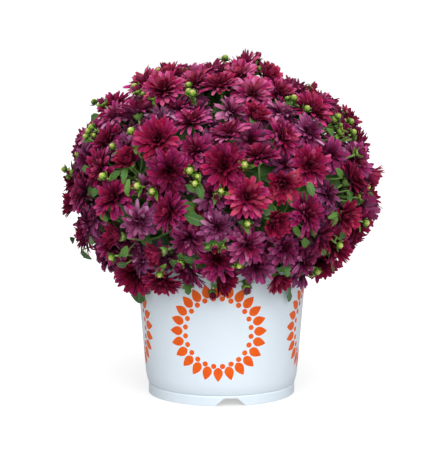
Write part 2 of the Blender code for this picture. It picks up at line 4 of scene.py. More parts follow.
import bpy
import numpy as np
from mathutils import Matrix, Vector

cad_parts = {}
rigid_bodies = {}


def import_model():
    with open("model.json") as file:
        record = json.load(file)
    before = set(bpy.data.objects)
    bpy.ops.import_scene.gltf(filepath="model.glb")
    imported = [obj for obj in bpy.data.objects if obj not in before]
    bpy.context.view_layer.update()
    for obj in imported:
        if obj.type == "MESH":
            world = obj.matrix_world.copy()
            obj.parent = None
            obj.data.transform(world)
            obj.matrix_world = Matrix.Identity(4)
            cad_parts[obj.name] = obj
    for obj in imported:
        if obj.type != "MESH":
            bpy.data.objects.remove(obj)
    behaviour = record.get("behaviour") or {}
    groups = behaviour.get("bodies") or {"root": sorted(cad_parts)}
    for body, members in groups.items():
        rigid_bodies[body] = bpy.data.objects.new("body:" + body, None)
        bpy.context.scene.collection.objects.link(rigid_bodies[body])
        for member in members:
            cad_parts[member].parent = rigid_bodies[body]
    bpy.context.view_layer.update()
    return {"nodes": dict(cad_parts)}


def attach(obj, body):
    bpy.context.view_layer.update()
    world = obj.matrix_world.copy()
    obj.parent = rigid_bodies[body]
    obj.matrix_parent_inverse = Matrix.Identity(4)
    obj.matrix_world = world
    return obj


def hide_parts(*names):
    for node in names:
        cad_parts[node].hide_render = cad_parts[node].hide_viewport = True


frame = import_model()
print("frame loaded, nodes:", len(frame["nodes"]))

fullTurn = 2 * math.pi
goldenAngle = math.pi * (3 - math.sqrt(5))
up = np.array([0.0, 0.0, 1.0])
blank = (0.0, 0.0, 0.0)
seeds = {"layout": 11, "looks": 21, "extras": 31, "soil": 41}  # layout is the frame's own

# The pot, in metres: the same sizes as its solid in the frame; edge is the rounding of its corners
pot = {
    "rimRadius": 0.0925, "height": 0.145, "taper": 0.084, "wall": 0.0014,
    "lipOut": 0.0018, "lipTall": 0.006, "lipRings": 9,
    "bandRadius": 0.0794, "bandTall": 0.0105, "bandRings": (0.0030, 0.0060, 0.0086), "innerRing": 0.0045,
    "curveTall": 0.013, "curveDeep": 0.0022, "curveRings": 9, "wallRings": 14,
    "floorZ": 0.0095, "floorCorner": 0.004, "floorRings": (0.020, 0.045, 0.060), "edge": 0.0004,
    "notches": 3, "firstNotch": math.radians(-83),
    "notchWide": 0.0325, "notchNarrow": 0.0135, "notchTall": 0.0082,
    "drainRadius": 0.0045, "drainRing": 0.052, "drainDeep": 0.01, "drainSides": 32,
    "sides": 240, "leastTurn": 0.0008, "crisp": 38,
}
rimOut = pot["rimRadius"] + pot["lipOut"]
lowSpot = pot["height"] + 0.020  # stalks to spots below this bend over the rim

# The dome that the middles of the blooms lie on, in metres; swells are (turn, tilt from the top,
# half width, rise), with angles in degrees
dome = {
    "z": 0.2136, "side": 0.1585, "up": 0.1335, "down": 0.108, "lowest": 0.1365, "tilts": 2001,
    "swells": (
        (180, 38, 26, 0.0075), (0, 128, 30, -0.0110), (0, 8, 14, 0.0030), (95, 60, 24, 0.0050),
        (-60, 75, 22, 0.0035),
    ),
}


# Vectors


def unit(vectors):
    # each vector over its length
    return vectors / np.linalg.norm(vectors, axis=-1, keepdims=True)


def distance(spots, others):
    # the length of spots - others
    return np.linalg.norm(spots - others, axis=-1)


def roomAt(spots, others):
    # from each spot, the distance to the nearest of the others
    return distance(spots[:, None], others[None]).min(axis=1)


def levelWay(spot):
    # the level unit vector from the pot's axis to a spot
    return unit(spot * (1, 1, 0))


def crossWays(axis):
    # two unit vectors square to axis and to each other: helper x axis, and axis x the first
    helper = up if abs(axis[2]) < 0.9 else np.array([1.0, 0.0, 0.0])
    first = unit(np.cross(helper, axis))
    return first, np.cross(axis, first)


def around(turns, first, second):
    # cos(turn) first + sin(turn) second for each turn
    return np.outer(np.cos(turns), first) + np.outer(np.sin(turns), second)


def nearestOn(start, end, points):
    # start + share (end - start), where share is (point - start) . (end - start) over the square
    # of the segment's length, kept from 0 to 1
    along = end - start
    share = np.clip((points - start) @ along / (along @ along), 0.0, 1.0)
    return start + share[:, None] * along


# Places on the dome


def halfHeight(above):
    # the dome is taller above its middle than it is deep below
    return np.where(above, dome["up"], dome["down"])


def domePoint(tilt, turn):
    # (side sin(tilt) cos(turn), side sin(tilt) sin(turn), z + half height cos(tilt))
    height = halfHeight(np.cos(tilt) > 0) * np.cos(tilt)
    reach = dome["side"] * np.sin(tilt)
    return np.stack([reach * np.cos(turn), reach * np.sin(turn), dome["z"] + height], axis=-1)


def lowestTilt(level):
    # the tilt where the dome comes down to a level: pi - acos((z - level) / down)
    return math.pi - math.acos((dome["z"] - level) / dome["down"])


def onDome(points):
    # each point moved straight from the dome's middle on to the dome
    x, y, z = (points - dome["z"] * up).T
    tilt = np.arctan2(np.hypot(x, y) / dome["side"], z / halfHeight(z > 0))
    return domePoint(np.minimum(tilt, lowestTilt(dome["lowest"])), np.arctan2(y, x))


def domeNormal(points):
    # the ellipsoid's gradient: (x / side^2, y / side^2, (z - middle) / half height^2)
    height = halfHeight(points[:, 2] > dome["z"])
    x, y = points[:, 0] / dome["side"]**2, points[:, 1] / dome["side"]**2
    return unit(np.stack([x, y, (points[:, 2] - dome["z"]) / height**2], axis=-1))


def swollen(points):
    # each swell lifts by rise exp(-(angle / width)^2) along the dome's normal
    lift = np.zeros(len(points))
    fromMiddle = unit(points - dome["z"] * up)
    for *angles, rise in dome["swells"]:
        turn, tilt, width = map(math.radians, angles)
        flat = math.sin(tilt)
        toward = np.array([flat * math.cos(turn), flat * math.sin(turn), math.cos(tilt)])
        away = np.arccos(np.clip(fromMiddle @ toward, -1.0, 1.0))
        lift += rise * np.exp(-((away / width) ** 2))
    return points + domeNormal(points) * lift[:, None]


def spreadOverDome(count, lowest):
    # a golden spiral whose tilts give each point the same share of the dome's surface
    tilts = np.linspace(0.0, lowestTilt(lowest), dome["tilts"])
    height = halfHeight(np.cos(tilts) > 0)
    girth = np.sin(tilts) * np.hypot(dome["side"] * np.cos(tilts), height * np.sin(tilts))
    share = np.concatenate([[0.0], np.cumsum((girth[1:] + girth[:-1]) / 2)])
    order = np.arange(count)
    return np.interp((order + 0.5) / count, share / share[-1], tilts), order * goldenAngle


def evenPlaces(count, lowest):
    # places spread over the swollen dome, and the ways out there
    spots = domePoint(*spreadOverDome(count, lowest))
    return swollen(spots), domeNormal(spots)


def onFront(x, z):
    # the place of (x, z), in millimetres, on the dome's front: y = -side sqrt(1 - (x / side)^2 -
    # ((z - middle) / half height)^2), and 0 past the dome's outline
    x, z = x / 1000, z / 1000
    inside = 1 - (x / dome["side"]) ** 2 - ((z - dome["z"]) / halfHeight(z > dome["z"])) ** 2
    return np.stack([x, -dome["side"] * np.sqrt(np.maximum(0.0, inside)), z], axis=-1)


def nearFront(points, x, z, width):
    # exp(-(distance / width)^2) from the place (x, z) of the front, all in millimetres
    return np.exp(-((distance(points, onFront(x, z)) / width * 1000) ** 2))


# The plant's plan: blooms, sprays, branches, and the gaps that leaves and buds take

bloomPlan = {
    "sites": 186, "leafySites": 18, "siteJitter": 0.012, "siteSpacing": 0.040,
    "steps": 12, "stepShare": 0.3, "depthJitter": 0.0035, "facingJitter": 0.16,
    "lowLift": 0.35, "liftBelow": 0.4,
    "radius": 0.0232, "radiusJitter": 0.0022, "youngShare": 0.14, "youngSize": 0.86, "back": 0.0080,
}
sprayPlan = {"count": 40, "favour": 0.0015, "hubMargin": 0.012, "hubLowest": 0.160, "awkward": 2}
stemPlan = {
    "count": 5, "path": ((0.030, 0.085), (0.030, 0.137), (0.038, 0.166), (0.044, 0.200)),
    "radii": (0.0036, 0.0036, 0.0030, 0.0022),
    "branchRise": 0.45, "margins": (0.005, 0.003), "branchEnd": 0.016, "touchGap": 0.0004,
    "branchRadii": (0.0019, 0.0015, 0.0012),
}
greenPlan = {
    "spots": 6000, "below": 0.005, "linkWeight": 1.6, "leaves": 42, "buds": 30, "leavesFirst": 2,
    "leafSpacing": 0.018, "budSpacing": 0.015, "stalkDeep": 0.026, "overRim": 0.0135, "offRim": 0.004,
    "leafLength": 0.033, "lowLean": 0.2, "rootAbove": 0.5,
}


def cuttingAngle(i):
    # the middle of share i of the full turn
    return fullTurn * (i + 0.5) / stemPlan["count"]


def sector(point):
    # which cutting's share of the pot a point is in, and its distance from the sides of that share
    share = fullTurn / stemPlan["count"]
    turn = math.atan2(point[1], point[0]) % fullTurn
    index = int(turn // share)
    toSide = min(turn - index * share, (index + 1) * share - turn)
    return index, math.hypot(point[0], point[1]) * math.sin(toSide)


def planBlooms():
    # sites push each other apart on the dome, each by stepShare of what is missing of the spacing,
    # and some are left to the leaves
    random = np.random.RandomState(seeds["layout"])
    plan = bloomPlan
    jitter = plan["siteJitter"]
    sites = domePoint(*spreadOverDome(plan["sites"], dome["lowest"]))
    sites = sites + random.uniform(-jitter, jitter, (plan["sites"], 3))
    for _ in range(plan["steps"]):
        away = sites[:, None] - sites[None]
        length = np.linalg.norm(away, axis=-1, keepdims=True) + np.eye(plan["sites"])[:, :, None]
        push = np.maximum(0.0, plan["siteSpacing"] - length) * away / length
        sites = onDome(sites + plan["stepShare"] * push.sum(axis=1))
    spots = np.delete(sites, random.permutation(plan["sites"])[:plan["leafySites"]], axis=0)
    count = len(spots)
    out = domeNormal(spots)
    middle = swollen(spots) + out * random.uniform(-plan["depthJitter"], plan["depthJitter"], (count, 1))
    lift = plan["lowLift"] * np.maximum(0.0, plan["liftBelow"] - out[:, 2:])
    facing = unit(out + lift * up + plan["facingJitter"] * random.randn(count, 3))
    radius = plan["radius"] + random.uniform(-plan["radiusJitter"], plan["radiusJitter"], count)
    young = random.rand(count) < plan["youngShare"]
    radius[young] *= plan["youngSize"]
    turn = random.uniform(0.0, fullTurn, count)
    return {"middle": middle, "facing": facing, "radius": radius, "young": young, "turn": turn}


def gatherSprays(middle):
    # the free bloom that is nearest to any spray joins it, with some favour to the smaller sprays
    gaps = distance(middle[:, None], middle[None])
    margin = np.array([sector(spot)[1] for spot in middle])
    awkward = np.maximum(0.0, sprayPlan["hubMargin"] - margin)
    awkward += np.maximum(0.0, sprayPlan["hubLowest"] - middle[:, 2])
    hubs = []
    for seat in domePoint(*spreadOverDome(sprayPlan["count"], dome["lowest"])):
        cost = distance(middle, seat) + sprayPlan["awkward"] * awkward
        cost[hubs] = np.inf
        hubs.append(int(cost.argmin()))
    sprays = [[hub] for hub in hubs]
    links = []
    home = {hub: i for i, hub in enumerate(hubs)}
    free = set(range(len(middle))) - set(hubs)
    while free:
        favour = {b: sprayPlan["favour"] * len(sprays[home[b]]) for b in home}
        _, new, old = min((gaps[a, b] + favour[b], a, b) for a in free for b in home)
        home[new] = home[old]
        links.append((new, old))
        sprays[home[old]].append(new)
        free.remove(new)
    return sprays, links


def planBranches(blooms, sprays):
    # a stem for each cutting, and from it a branch to the back of the first bloom of each spray,
    # which leaves the stem branchRise of its own height up
    stems = []
    for i in range(stemPlan["count"]):
        c, s = math.cos(cuttingAngle(i)), math.sin(cuttingAngle(i))
        stems.append(np.array([[r * c, r * s, z] for r, z in stemPlan["path"]]))
    branches = [[] for _ in stems]
    owners = []
    for spray in sprays:
        facing = blooms["facing"][spray[0]]
        tip = blooms["middle"][spray[0]] - facing * (bloomPlan["back"] + stemPlan["touchGap"])
        index, _ = sector(tip)
        stem = stems[index]
        lowest, highest = pot["height"] + stemPlan["margins"][0], stem[-1, 2] - stemPlan["margins"][1]
        height = lowest + stemPlan["branchRise"] * (tip[2] - sprayPlan["hubLowest"])
        height = np.clip(height, lowest, highest)
        root = np.array([np.interp(height, stem[:, 2], stem[:, k]) for k in range(3)])
        path = np.array([root, tip - facing * stemPlan["branchEnd"], tip])
        branches[index].append(path)
        owners.append((index, path))
    return stems, branches, owners


def planGreens(blooms, links):
    # leaves and buds take the widest gaps between the blooms, the widest first
    middle = blooms["middle"]
    spots, out = evenPlaces(greenPlan["spots"], dome["lowest"] - greenPlan["below"])
    room = roomAt(spots, middle)
    for a, b in links:
        seen = nearestOn(middle[a], middle[b], spots)
        room = np.minimum(room, greenPlan["linkWeight"] * distance(spots, seen))
    room[[sector(spot)[1] < sprayPlan["hubMargin"] / 2 for spot in spots]] = 0.0
    leaves, buds = [], []
    total = greenPlan["leaves"] + greenPlan["buds"]
    for i in range(total):
        best = int(room.argmax())
        isBud = len(buds) < greenPlan["buds"] * i / total - greenPlan["leavesFirst"]
        (buds if isBud else leaves).append((spots[best], out[best]))
        taken = greenPlan["budSpacing"] if isBud else greenPlan["leafSpacing"]
        room[distance(spots, spots[best]) < taken] = 0.0
    return leaves, buds


def stalkTo(spot, way, branches):
    # the cutting that a spot belongs to, a root on its nearest branch, and a bend under the spot
    index, _ = sector(spot)
    bend = spot - way * greenPlan["stalkDeep"]
    if spot[2] < lowSpot:
        bend = levelWay(spot) * (rimOut + greenPlan["offRim"]) + (pot["height"] + greenPlan["overRim"]) * up
    roots = np.array([nearestOn(path[0], path[1], bend[None])[0] for path in branches[index]])
    length = distance(roots, bend) + greenPlan["rootAbove"] * np.maximum(0.0, roots[:, 2] - bend[2])
    return index, roots[length.argmin()], bend


# The age of a bloom: -1 is half open, 0 freshly open and crimson, 1 old, bent back and mauve.
# Patches are (x, z, half width, age added) on the front, in millimetres; tucks are (x, z, half
# width, depth, share of the size) where blooms sit deeper and are smaller. Light from above is
# painted into the petals: from one height to another, blooms grow lighter by the third number of
# the painted top light
ageLook = {
    "spread": (1.1, 2.4), "youngest": (-1.0, -0.45),
    "patches": (
        (-136, 272, 24, 0.7), (-128, 183, 26, 0.7), (-70, 215, 20, 0.5), (-50, 174, 22, 0.6),
        (-56, 303, 18, 0.6), (57, 307, 18, 0.7), (47, 158, 24, 0.7), (77, 137, 22, 0.7),
        (68, 205, 18, 0.5), (-6, 190, 18, 0.5), (-97, 268, 20, -0.6), (-52, 292, 20, -0.6),
        (0, 232, 22, -0.6), (80, 262, 22, -0.6), (128, 200, 24, -0.6), (-70, 140, 24, -0.4),
        (10, 275, 22, -0.4), (40, 345, 24, -0.4), (-90, 320, 22, -0.5), (-5, 145, 20, -0.4),
    ),
    "tucks": ((-130, 146, 22, 6, 0.25), (-72, 347, 32, 5, 0.0), (-30, 352, 20, 3, 0.0)),
    "sink": 0.0065, "proud": 0.0025, "lean": 0.30, "grow": (1.02, 0.92),
    # shades are a random lightness for each bloom; the painted top light is (from height, to height,
    # lightness added)
    "shades": (0.2, 0.8), "paintedTopLight": (0.25, 0.33, 0.42),
}
# Old blooms that fill the gaps from below the others, first at (x, z) of the front in millimetres
fillPlan = {
    "count": 90, "spots": 3000, "above": 0.012, "spacing": 0.021, "depth": (0.008, 0.014),
    "radius": (0.0180, 0.0215), "lean": 0.35, "age": (0.30, 1.0), "leafWeight": 2.4, "first": ((-8, 303),),
}


def settleBlooms(blooms, random):
    # gives each bloom its age; old ones sit deeper, and each leans a little its own way
    count = len(blooms["middle"])
    age = random.beta(*ageLook["spread"], count)
    for *patch, added in ageLook["patches"]:
        age += added * nearFront(blooms["middle"], *patch)
    age = np.clip(age, 0.0, 1.0)
    age[blooms["young"]] = random.uniform(*ageLook["youngest"], blooms["young"].sum())
    worn = np.maximum(0.0, age)
    depth = ageLook["proud"] - (ageLook["sink"] + ageLook["proud"]) * worn
    blooms["middle"] = blooms["middle"] + blooms["facing"] * depth[:, None]
    blooms["facing"] = unit(blooms["facing"] + ageLook["lean"] * random.randn(count, 3))
    fresh, old = ageLook["grow"]
    blooms["radius"] = blooms["radius"] * (fresh + (old - fresh) * worn)
    for *patch, deep, share in ageLook["tucks"]:
        near = nearFront(blooms["middle"], *patch)
        blooms["middle"] = blooms["middle"] - domeNormal(blooms["middle"]) * (deep / 1000 * near)[:, None]
        blooms["radius"] = blooms["radius"] * (1 - share * near)
    blooms["age"] = age


def addFillers(blooms, sprays, leafPlaces, random):
    # the places on the dome that are farthest from any bloom or outer leaf, sunk below it; each
    # joins the nearest spray
    main = blooms["middle"]
    spots, out = evenPlaces(fillPlan["spots"], dome["lowest"] + fillPlan["above"])
    room = np.minimum(roomAt(spots, main), fillPlan["leafWeight"] * roomAt(spots, leafPlaces))
    chosen = []
    for n in range(fillPlan["count"]):
        best = int(room.argmax())
        if n < len(fillPlan["first"]):
            best = int(distance(spots, onFront(*fillPlan["first"][n])).argmin())
        chosen.append(best)
        room[distance(spots, spots[best]) < fillPlan["spacing"]] = 0.0
    count = len(chosen)
    middle = spots[chosen] - out[chosen] * random.uniform(*fillPlan["depth"], (count, 1))
    nearest = distance(middle[:, None], main[None]).argmin(axis=1)
    home = {bloom: spray for spray in sprays for bloom in spray}
    for i, bloom in enumerate(nearest):
        home[bloom].append(len(main) + i)
    added = {
        "middle": middle, "facing": unit(out[chosen] + fillPlan["lean"] * random.randn(count, 3)),
        "radius": random.uniform(*fillPlan["radius"], count), "young": np.zeros(count, bool),
        "turn": random.uniform(0.0, fullTurn, count), "age": random.uniform(*fillPlan["age"], count),
    }
    for key in added:
        blooms[key] = np.concatenate([blooms[key], added[key]])


lookRandom = np.random.RandomState(seeds["looks"])
blooms = planBlooms()
sprays, links = gatherSprays(blooms["middle"])
leafSpots, budSpots = planGreens(blooms, links)
settleBlooms(blooms, lookRandom)
stems, branches, owners = planBranches(blooms, sprays)
mainCount = len(blooms["middle"])
addFillers(blooms, sprays, np.array([spot for spot, _ in leafSpots]), lookRandom)
mainMiddles = blooms["middle"][:mainCount]
print("plant planned:", len(blooms["middle"]), "blooms in", len(sprays), "sprays")


# Surfaces: each is a tube, a grid of rings along a path, closed at both ends by a point


def inOrder(rings, low, high):
    # for each tube its low end, its rings and its high end, as rows of three numbers
    rows = rings.reshape(len(rings), -1, 3)
    return np.concatenate([low[:, None], rows, high[:, None]], axis=1).reshape(-1, 3)


def tubeFaces(tubes, count, sides):
    # quads run round each ring and along the path, and a fan of triangles closes either end
    grid = 1 + np.arange(count * sides).reshape(count, sides)
    turned = np.roll(grid, -1, axis=1)
    quads = np.stack([grid[:-1], turned[:-1], turned[1:], grid[1:]], axis=-1).reshape(-1, 4)
    lowFan = np.stack([np.zeros(sides, int), turned[0], grid[0]], axis=-1)
    highFan = np.stack([np.full(sides, count * sides + 1), grid[-1], turned[-1]], axis=-1)
    shift = (np.arange(tubes) * (count * sides + 2))[:, None, None]
    return (quads + shift).reshape(-1, 4), (np.concatenate([lowFan, highFan]) + shift).reshape(-1, 3)


class Heap:
    # tubes that become one mesh; place is where on its blade a point is, and tone is one value of
    # three numbers for each tube
    def __init__(self):
        self.points, self.quads, self.tris, self.place, self.tone = [], [], [], [], []
        self.count = 0

    def add(self, rings, low, high, place=blank, ends=(blank, blank), tone=blank):
        # rings has the shape (tubes, rings, sides, 3), or (rings, sides, 3) for one tube; the
        # other values are given for each tube or once for all
        rings = rings.reshape(-1, *rings.shape[-3:])
        tubes, count, sides, _ = rings.shape
        single = (np.broadcast_to(value, (tubes, 3)) for value in (low, high, *ends, tone))
        low, high, lowPlace, highPlace, tone = single
        quads, tris = tubeFaces(tubes, count, sides)
        self.points.append(inOrder(rings, low, high))
        self.quads.append(quads + self.count)
        self.tris.append(tris + self.count)
        self.place.append(inOrder(np.broadcast_to(place, rings.shape), lowPlace, highPlace))
        self.tone.append(np.repeat(tone, count * sides + 2, axis=0))
        self.count += tubes * (count * sides + 2)

    def piece(self, name, material, slot, replaced=(), crisp=None):
        # one mesh of all the tubes; edges sharper than crisp, in degrees, stay sharp
        quads, tris = np.concatenate(self.quads), np.concatenate(self.tris)
        mesh = bpy.data.meshes.new(name)
        mesh.vertices.add(self.count)
        mesh.vertices.foreach_set("co", np.concatenate(self.points).astype(np.float32).ravel())
        corners = np.concatenate([quads.ravel(), tris.ravel()]).astype(np.int32)
        mesh.loops.add(len(corners))
        mesh.loops.foreach_set("vertex_index", corners)
        starts = np.concatenate([np.arange(len(quads)) * 4, len(quads) * 4 + np.arange(len(tris)) * 3])
        mesh.polygons.add(len(starts))
        mesh.polygons.foreach_set("loop_start", starts.astype(np.int32))
        mesh.update(calc_edges=True)
        for attribute, values in (("place", self.place), ("tone", self.tone)):
            made = mesh.attributes.new(attribute, "FLOAT_VECTOR", "POINT")
            made.data.foreach_set("vector", np.concatenate(values).astype(np.float32).ravel())
        mesh.shade_smooth()
        if crisp:
            mesh.set_sharp_from_angle(angle=math.radians(crisp))
        mesh.materials.append(material)
        obj = bpy.data.objects.new(name, mesh)
        bpy.context.scene.collection.objects.link(obj)
        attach(obj, "root")
        if replaced:
            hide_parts(*replaced)
        return obj


def ringOf(spots, ways, side, radius, sides, lobes=0, lobeDeep=0.0):
    # spot + radius (1 + lobeDeep cos(lobes k)) (side cos(k) + other sin(k)), with side made square
    # to the way and other square to both
    side = unit(side - ways * (side * ways).sum(axis=-1, keepdims=True))
    other = np.cross(ways, side)
    turns = fullTurn * np.arange(sides) / sides
    reach = np.asarray(radius)[..., None] * (1 + lobeDeep * np.cos(lobes * turns))
    flat = side[..., None, :] * np.cos(turns)[:, None] + other[..., None, :] * np.sin(turns)[:, None]
    return spots[..., None, :] + reach[..., None] * flat


def placeGrid(along, across, back=0.0):
    # (along, across, back) for each ring and each side
    return np.stack(np.broadcast_arrays(along[:, None], across, back), axis=-1)


def everyOther(sides):
    # cos(pi k): 1 and -1 in turn
    return np.cos(np.arange(sides) * math.pi)


def smoothPath(corners, count):
    # three rounds of corner cutting, at 1/4 and 3/4 of each step, then even steps along the length
    points = np.asarray(corners, float)
    for _ in range(3):
        near = points[:-1] * 0.75 + points[1:] * 0.25
        far = points[:-1] * 0.25 + points[1:] * 0.75
        inner = np.stack([near, far], axis=1).reshape(-1, points.shape[1])
        points = np.concatenate([points[:1], inner, points[-1:]])
    length = np.concatenate([[0.0], np.cumsum(distance(points[1:, :3], points[:-1, :3]))])
    even = np.linspace(0.0, length[-1], count)
    return np.stack([np.interp(even, length, points[:, k]) for k in range(points.shape[1])], axis=-1)


def addStalk(heap, corners, radii, rings, sides, tone):
    # a round stalk along a smoothed path; its ends are blunt points half a radius out
    path = smoothPath(np.column_stack([corners, radii]), rings)
    spots, radius = path[:, :3], path[:, 3]
    ways = unit(np.gradient(spots, axis=0))
    made = ringOf(spots, ways, crossWays(ways[0])[0], radius, sides)
    place = placeGrid(np.linspace(0, 1, rings), np.cos(fullTurn * np.arange(sides) / sides))
    low, high = spots[0] - ways[0] * radius[0] * 0.5, spots[-1] + ways[-1] * radius[-1] * 0.5
    heap.add(made, low, high, place, (blank, (1.0, 0.0, 0.0)), tone)


# Materials. In each look, a span is (from, to, (value there, value there)), and grain and cloud
# are (scale, detail, roughness) of a noise


def rgb(text):
    # a colour as written on screen, "8a1040", made linear: ((c + 0.055) / 1.055)^2.4
    parts = [int(text[i:i + 2], 16) / 255 for i in (0, 2, 4)]
    return tuple(p / 12.92 if p < 0.04045 else ((p + 0.055) / 1.055) ** 2.4 for p in parts)


class Nodes:
    # short ways to build a node tree; a value is a number, a colour or another node's output
    def __init__(self, tree):
        self.tree = tree

    def make(self, kind, **settings):  # a node with its settings
        made = self.tree.nodes.new("ShaderNode" + kind)
        for name, value in settings.items():
            setattr(made, name, value)
        return made

    def put(self, target, value):  # links or sets one input
        if isinstance(value, bpy.types.NodeSocket):
            self.tree.links.new(value, target)
        elif isinstance(value, (tuple, str)):
            colour = rgb(value) if isinstance(value, str) else value
            target.default_value = (*colour, 1.0)[:len(target.default_value)]
        else:
            target.default_value = value

    def fill(self, made, values):  # the first inputs of a node, in order
        for target, value in zip(made.inputs, values):
            self.put(target, value)
        return made.outputs[0]

    def parts(self, vector):  # its three numbers
        made = self.make("SeparateXYZ")
        self.fill(made, [vector])
        return tuple(made.outputs)

    def values(self, attribute):  # the three numbers of a point attribute
        return self.parts(self.make("Attribute", attribute_name=attribute).outputs["Vector"])

    def sums(self, kind, *values):  # one step of arithmetic
        return self.fill(self.make("Math", operation=kind), values)

    def times(self, a, b):  # a b
        return self.sums("MULTIPLY", a, b)

    def timesPlus(self, a, b, c):  # a b + c
        return self.sums("MULTIPLY_ADD", a, b, c)

    def between(self, value, low, high, to=(0.0, 1.0)):
        # from one number to the other of to, as the value goes from low to high
        return self.fill(self.make("MapRange"), (value, low, high, *to))

    def ramp(self, value, stops):  # the colour at value between the stops
        made = self.make("ValToRGB")
        bar = made.color_ramp
        while len(bar.elements) < len(stops):
            bar.elements.new(0.5)
        for element, (spot, colour) in zip(bar.elements, stops):
            element.position = spot
            element.color = (*rgb(colour), 1.0)
        return self.fill(made, [value])

    def mix(self, share, a, b, kind="MIX"):  # a (1 - share) + b share
        made = self.make("Mix", data_type="RGBA", blend_type=kind)
        for i, part in ((0, share), (6, a), (7, b)):
            self.put(made.inputs[i], part)
        return made.outputs[2]

    def tint(self, colour, light):  # colour light
        return self.mix(1.0, colour, self.fill(self.make("CombineXYZ"), [light] * 3), "MULTIPLY")

    def onObject(self, kind, output=0, **sockets):
        # a pattern on the object's own coordinates
        made = self.make(kind)
        self.put(made.inputs["Vector"], self.make("TexCoord").outputs["Object"])
        for socket, value in sockets.items():
            made.inputs[socket].default_value = value
        return made.outputs[output]

    def noise(self, scale, detail=2.0, roughness=0.5):  # a soft noise on the object
        return self.onObject("TexNoise", Scale=scale, Detail=detail, Roughness=roughness)


class Paint(Nodes):
    # a material of one Principled shader
    def __init__(self, name, sockets):
        self.material = bpy.data.materials.new(name)
        self.material.use_nodes = True
        super().__init__(self.material.node_tree)
        self.shader = self.tree.nodes["Principled BSDF"]
        for socket, value in sockets.items():
            self.put(self.shader.inputs[socket], value)

    def finish(self, look, colour, grain, relief=None):
        # sets the colour, a roughness that follows the grain, and a bump of the relief
        self.put(self.shader.inputs["Base Color"], colour)
        self.put(self.shader.inputs["Roughness"], self.between(grain, *look["rough"]))
        if relief is not None:
            strength, depth = look["bump"]
            made = self.make("Bump")
            made.inputs["Strength"].default_value = strength
            made.inputs["Distance"].default_value = depth
            self.put(made.inputs["Height"], relief)
            self.put(self.shader.inputs["Normal"], made.outputs[0])
        return self.material


petalLook = {
    "crimson": ((0.0, "2a020d"), (0.30, "600623"), (0.60, "98083e"), (1.0, "b61250")),
    "magenta": ((0.0, "2c0315"), (0.30, "620836"), (0.60, "981058"), (1.0, "b62574")),
    "mauve": ((0.0, "360a28"), (0.30, "6a1c4e"), (0.60, "92356e"), (1.0, "b05a94")),
    # edges are the pale colours of the painted highlight on rims and tips, and of the pale wash on the
    # brightest petals
    "edges": ((0.0, "d25a72"), (0.4, "d674a4"), (1.0, "d6a4c4")),
    "backs": ((0.0, "a63a68"), (0.4, "ae5286"), (1.0, "b880aa")), "backShare": 0.6,
    # core: painted shade deep in a bloom, which makes the inner layers darker
    "magentaAge": 0.4, "light": (0.0, 1.0, (0.46, 1.07)), "coreShade": (0.0, 1.0, (1.0, 0.40)),
    # the pale wash on the brightest petals is partly fading and partly painted highlight; the pale rim and
    # tip are painted highlight
    "highlightAndFade": (0.86, 1.0, (0.0, 0.50)), "highlightAndFadeAlong": (0.1, 0.7),
    "rim": (0.25, 1.0, (0.05, 0.42)), "rimPower": 3.0, "tip": (0.84, 1.0, (0.0, 0.34)),
    "grain": (240.0, 3.0), "mottled": (0.3, 0.7, (0.86, 1.14)),
    "wander": 2.4, "veins": 11.0, "veinLight": 0.12, "rough": (0.2, 0.8, (0.58, 0.76)), "bump": (0.5, 0.0002),
}


def petalPaint():
    # colour runs from the dark base of a petal to its tip, and age turns crimson to magenta to
    # mauve; the rim, by |across|^3, and the tip go pale with a painted highlight, the brightest
    # petals get a pale wash that is partly fading and partly painted highlight, the inner layers get
    # painted shade, and veins are sin(veins across + wander grain)
    look = petalLook
    paint = Paint("petals", {"Specular IOR Level": 0.06})
    along, across, back = paint.values("place")
    age, shade, coreShade = paint.values("tone")
    crimson, magenta, mauve = (paint.ramp(along, look[kind]) for kind in ("crimson", "magenta", "mauve"))
    colour = paint.mix(paint.between(age, 0.0, look["magentaAge"]), crimson, magenta)
    colour = paint.mix(paint.between(age, look["magentaAge"], 1.0), colour, mauve)
    # painted highlight: the rim and the tip go pale, and the brightest petals get a pale wash that is partly
    # fading
    wide = paint.sums("POWER", paint.sums("ABSOLUTE", across), look["rimPower"])
    rim = paint.times(wide, paint.between(along, *look["rim"]))
    pale = paint.times(paint.between(shade, *look["highlightAndFade"]), paint.between(along, *look["highlightAndFadeAlong"]))
    pale = paint.sums("MAXIMUM", pale, paint.sums("MAXIMUM", rim, paint.between(along, *look["tip"])))
    colour = paint.mix(pale, colour, paint.ramp(age, look["edges"]))
    colour = paint.mix(paint.times(back, look["backShare"]), colour, paint.ramp(age, look["backs"]))
    grain = paint.noise(*look["grain"])
    veins = paint.sums("SINE", paint.timesPlus(grain, look["wander"], paint.times(across, look["veins"])))
    light = paint.timesPlus(veins, look["veinLight"], paint.between(shade, *look["light"]))
    # painted shade: the inner layers of a bloom are darker
    light = paint.times(light, paint.between(coreShade, *look["coreShade"]))
    light = paint.times(light, paint.between(grain, *look["mottled"]))
    return paint.finish(look, paint.tint(colour, light), grain, veins)


leafLook = {
    "top": ((0.0, "1e3c18"), (0.5, "2e5a22"), (1.0, "467a2e")), "mottled": 0.7, "byShade": 0.45,
    "young": "7fae3a", "vein": "658f46", "under": "64905a", "underShare": 0.7, "edge": "7ca046",
    "midrib": (0.035, 0.10, (0.85, 0.0)), "edgeSpan": (0.86, 1.0, (0.0, 0.5)),
    "sideVeins": 7.0, "slant": -2.3, "sideVein": (0.02, 0.10, (0.6, 0.0)),
    "sideVeinFade": (0.5, 1.0, (1.0, 0.2)), "grain": (90.0, 4.0, 0.6),
    "rough": (0.3, 0.7, (0.38, 0.56)), "bump": (0.5, 0.0006), "relief": (-0.7, 0.5),
}


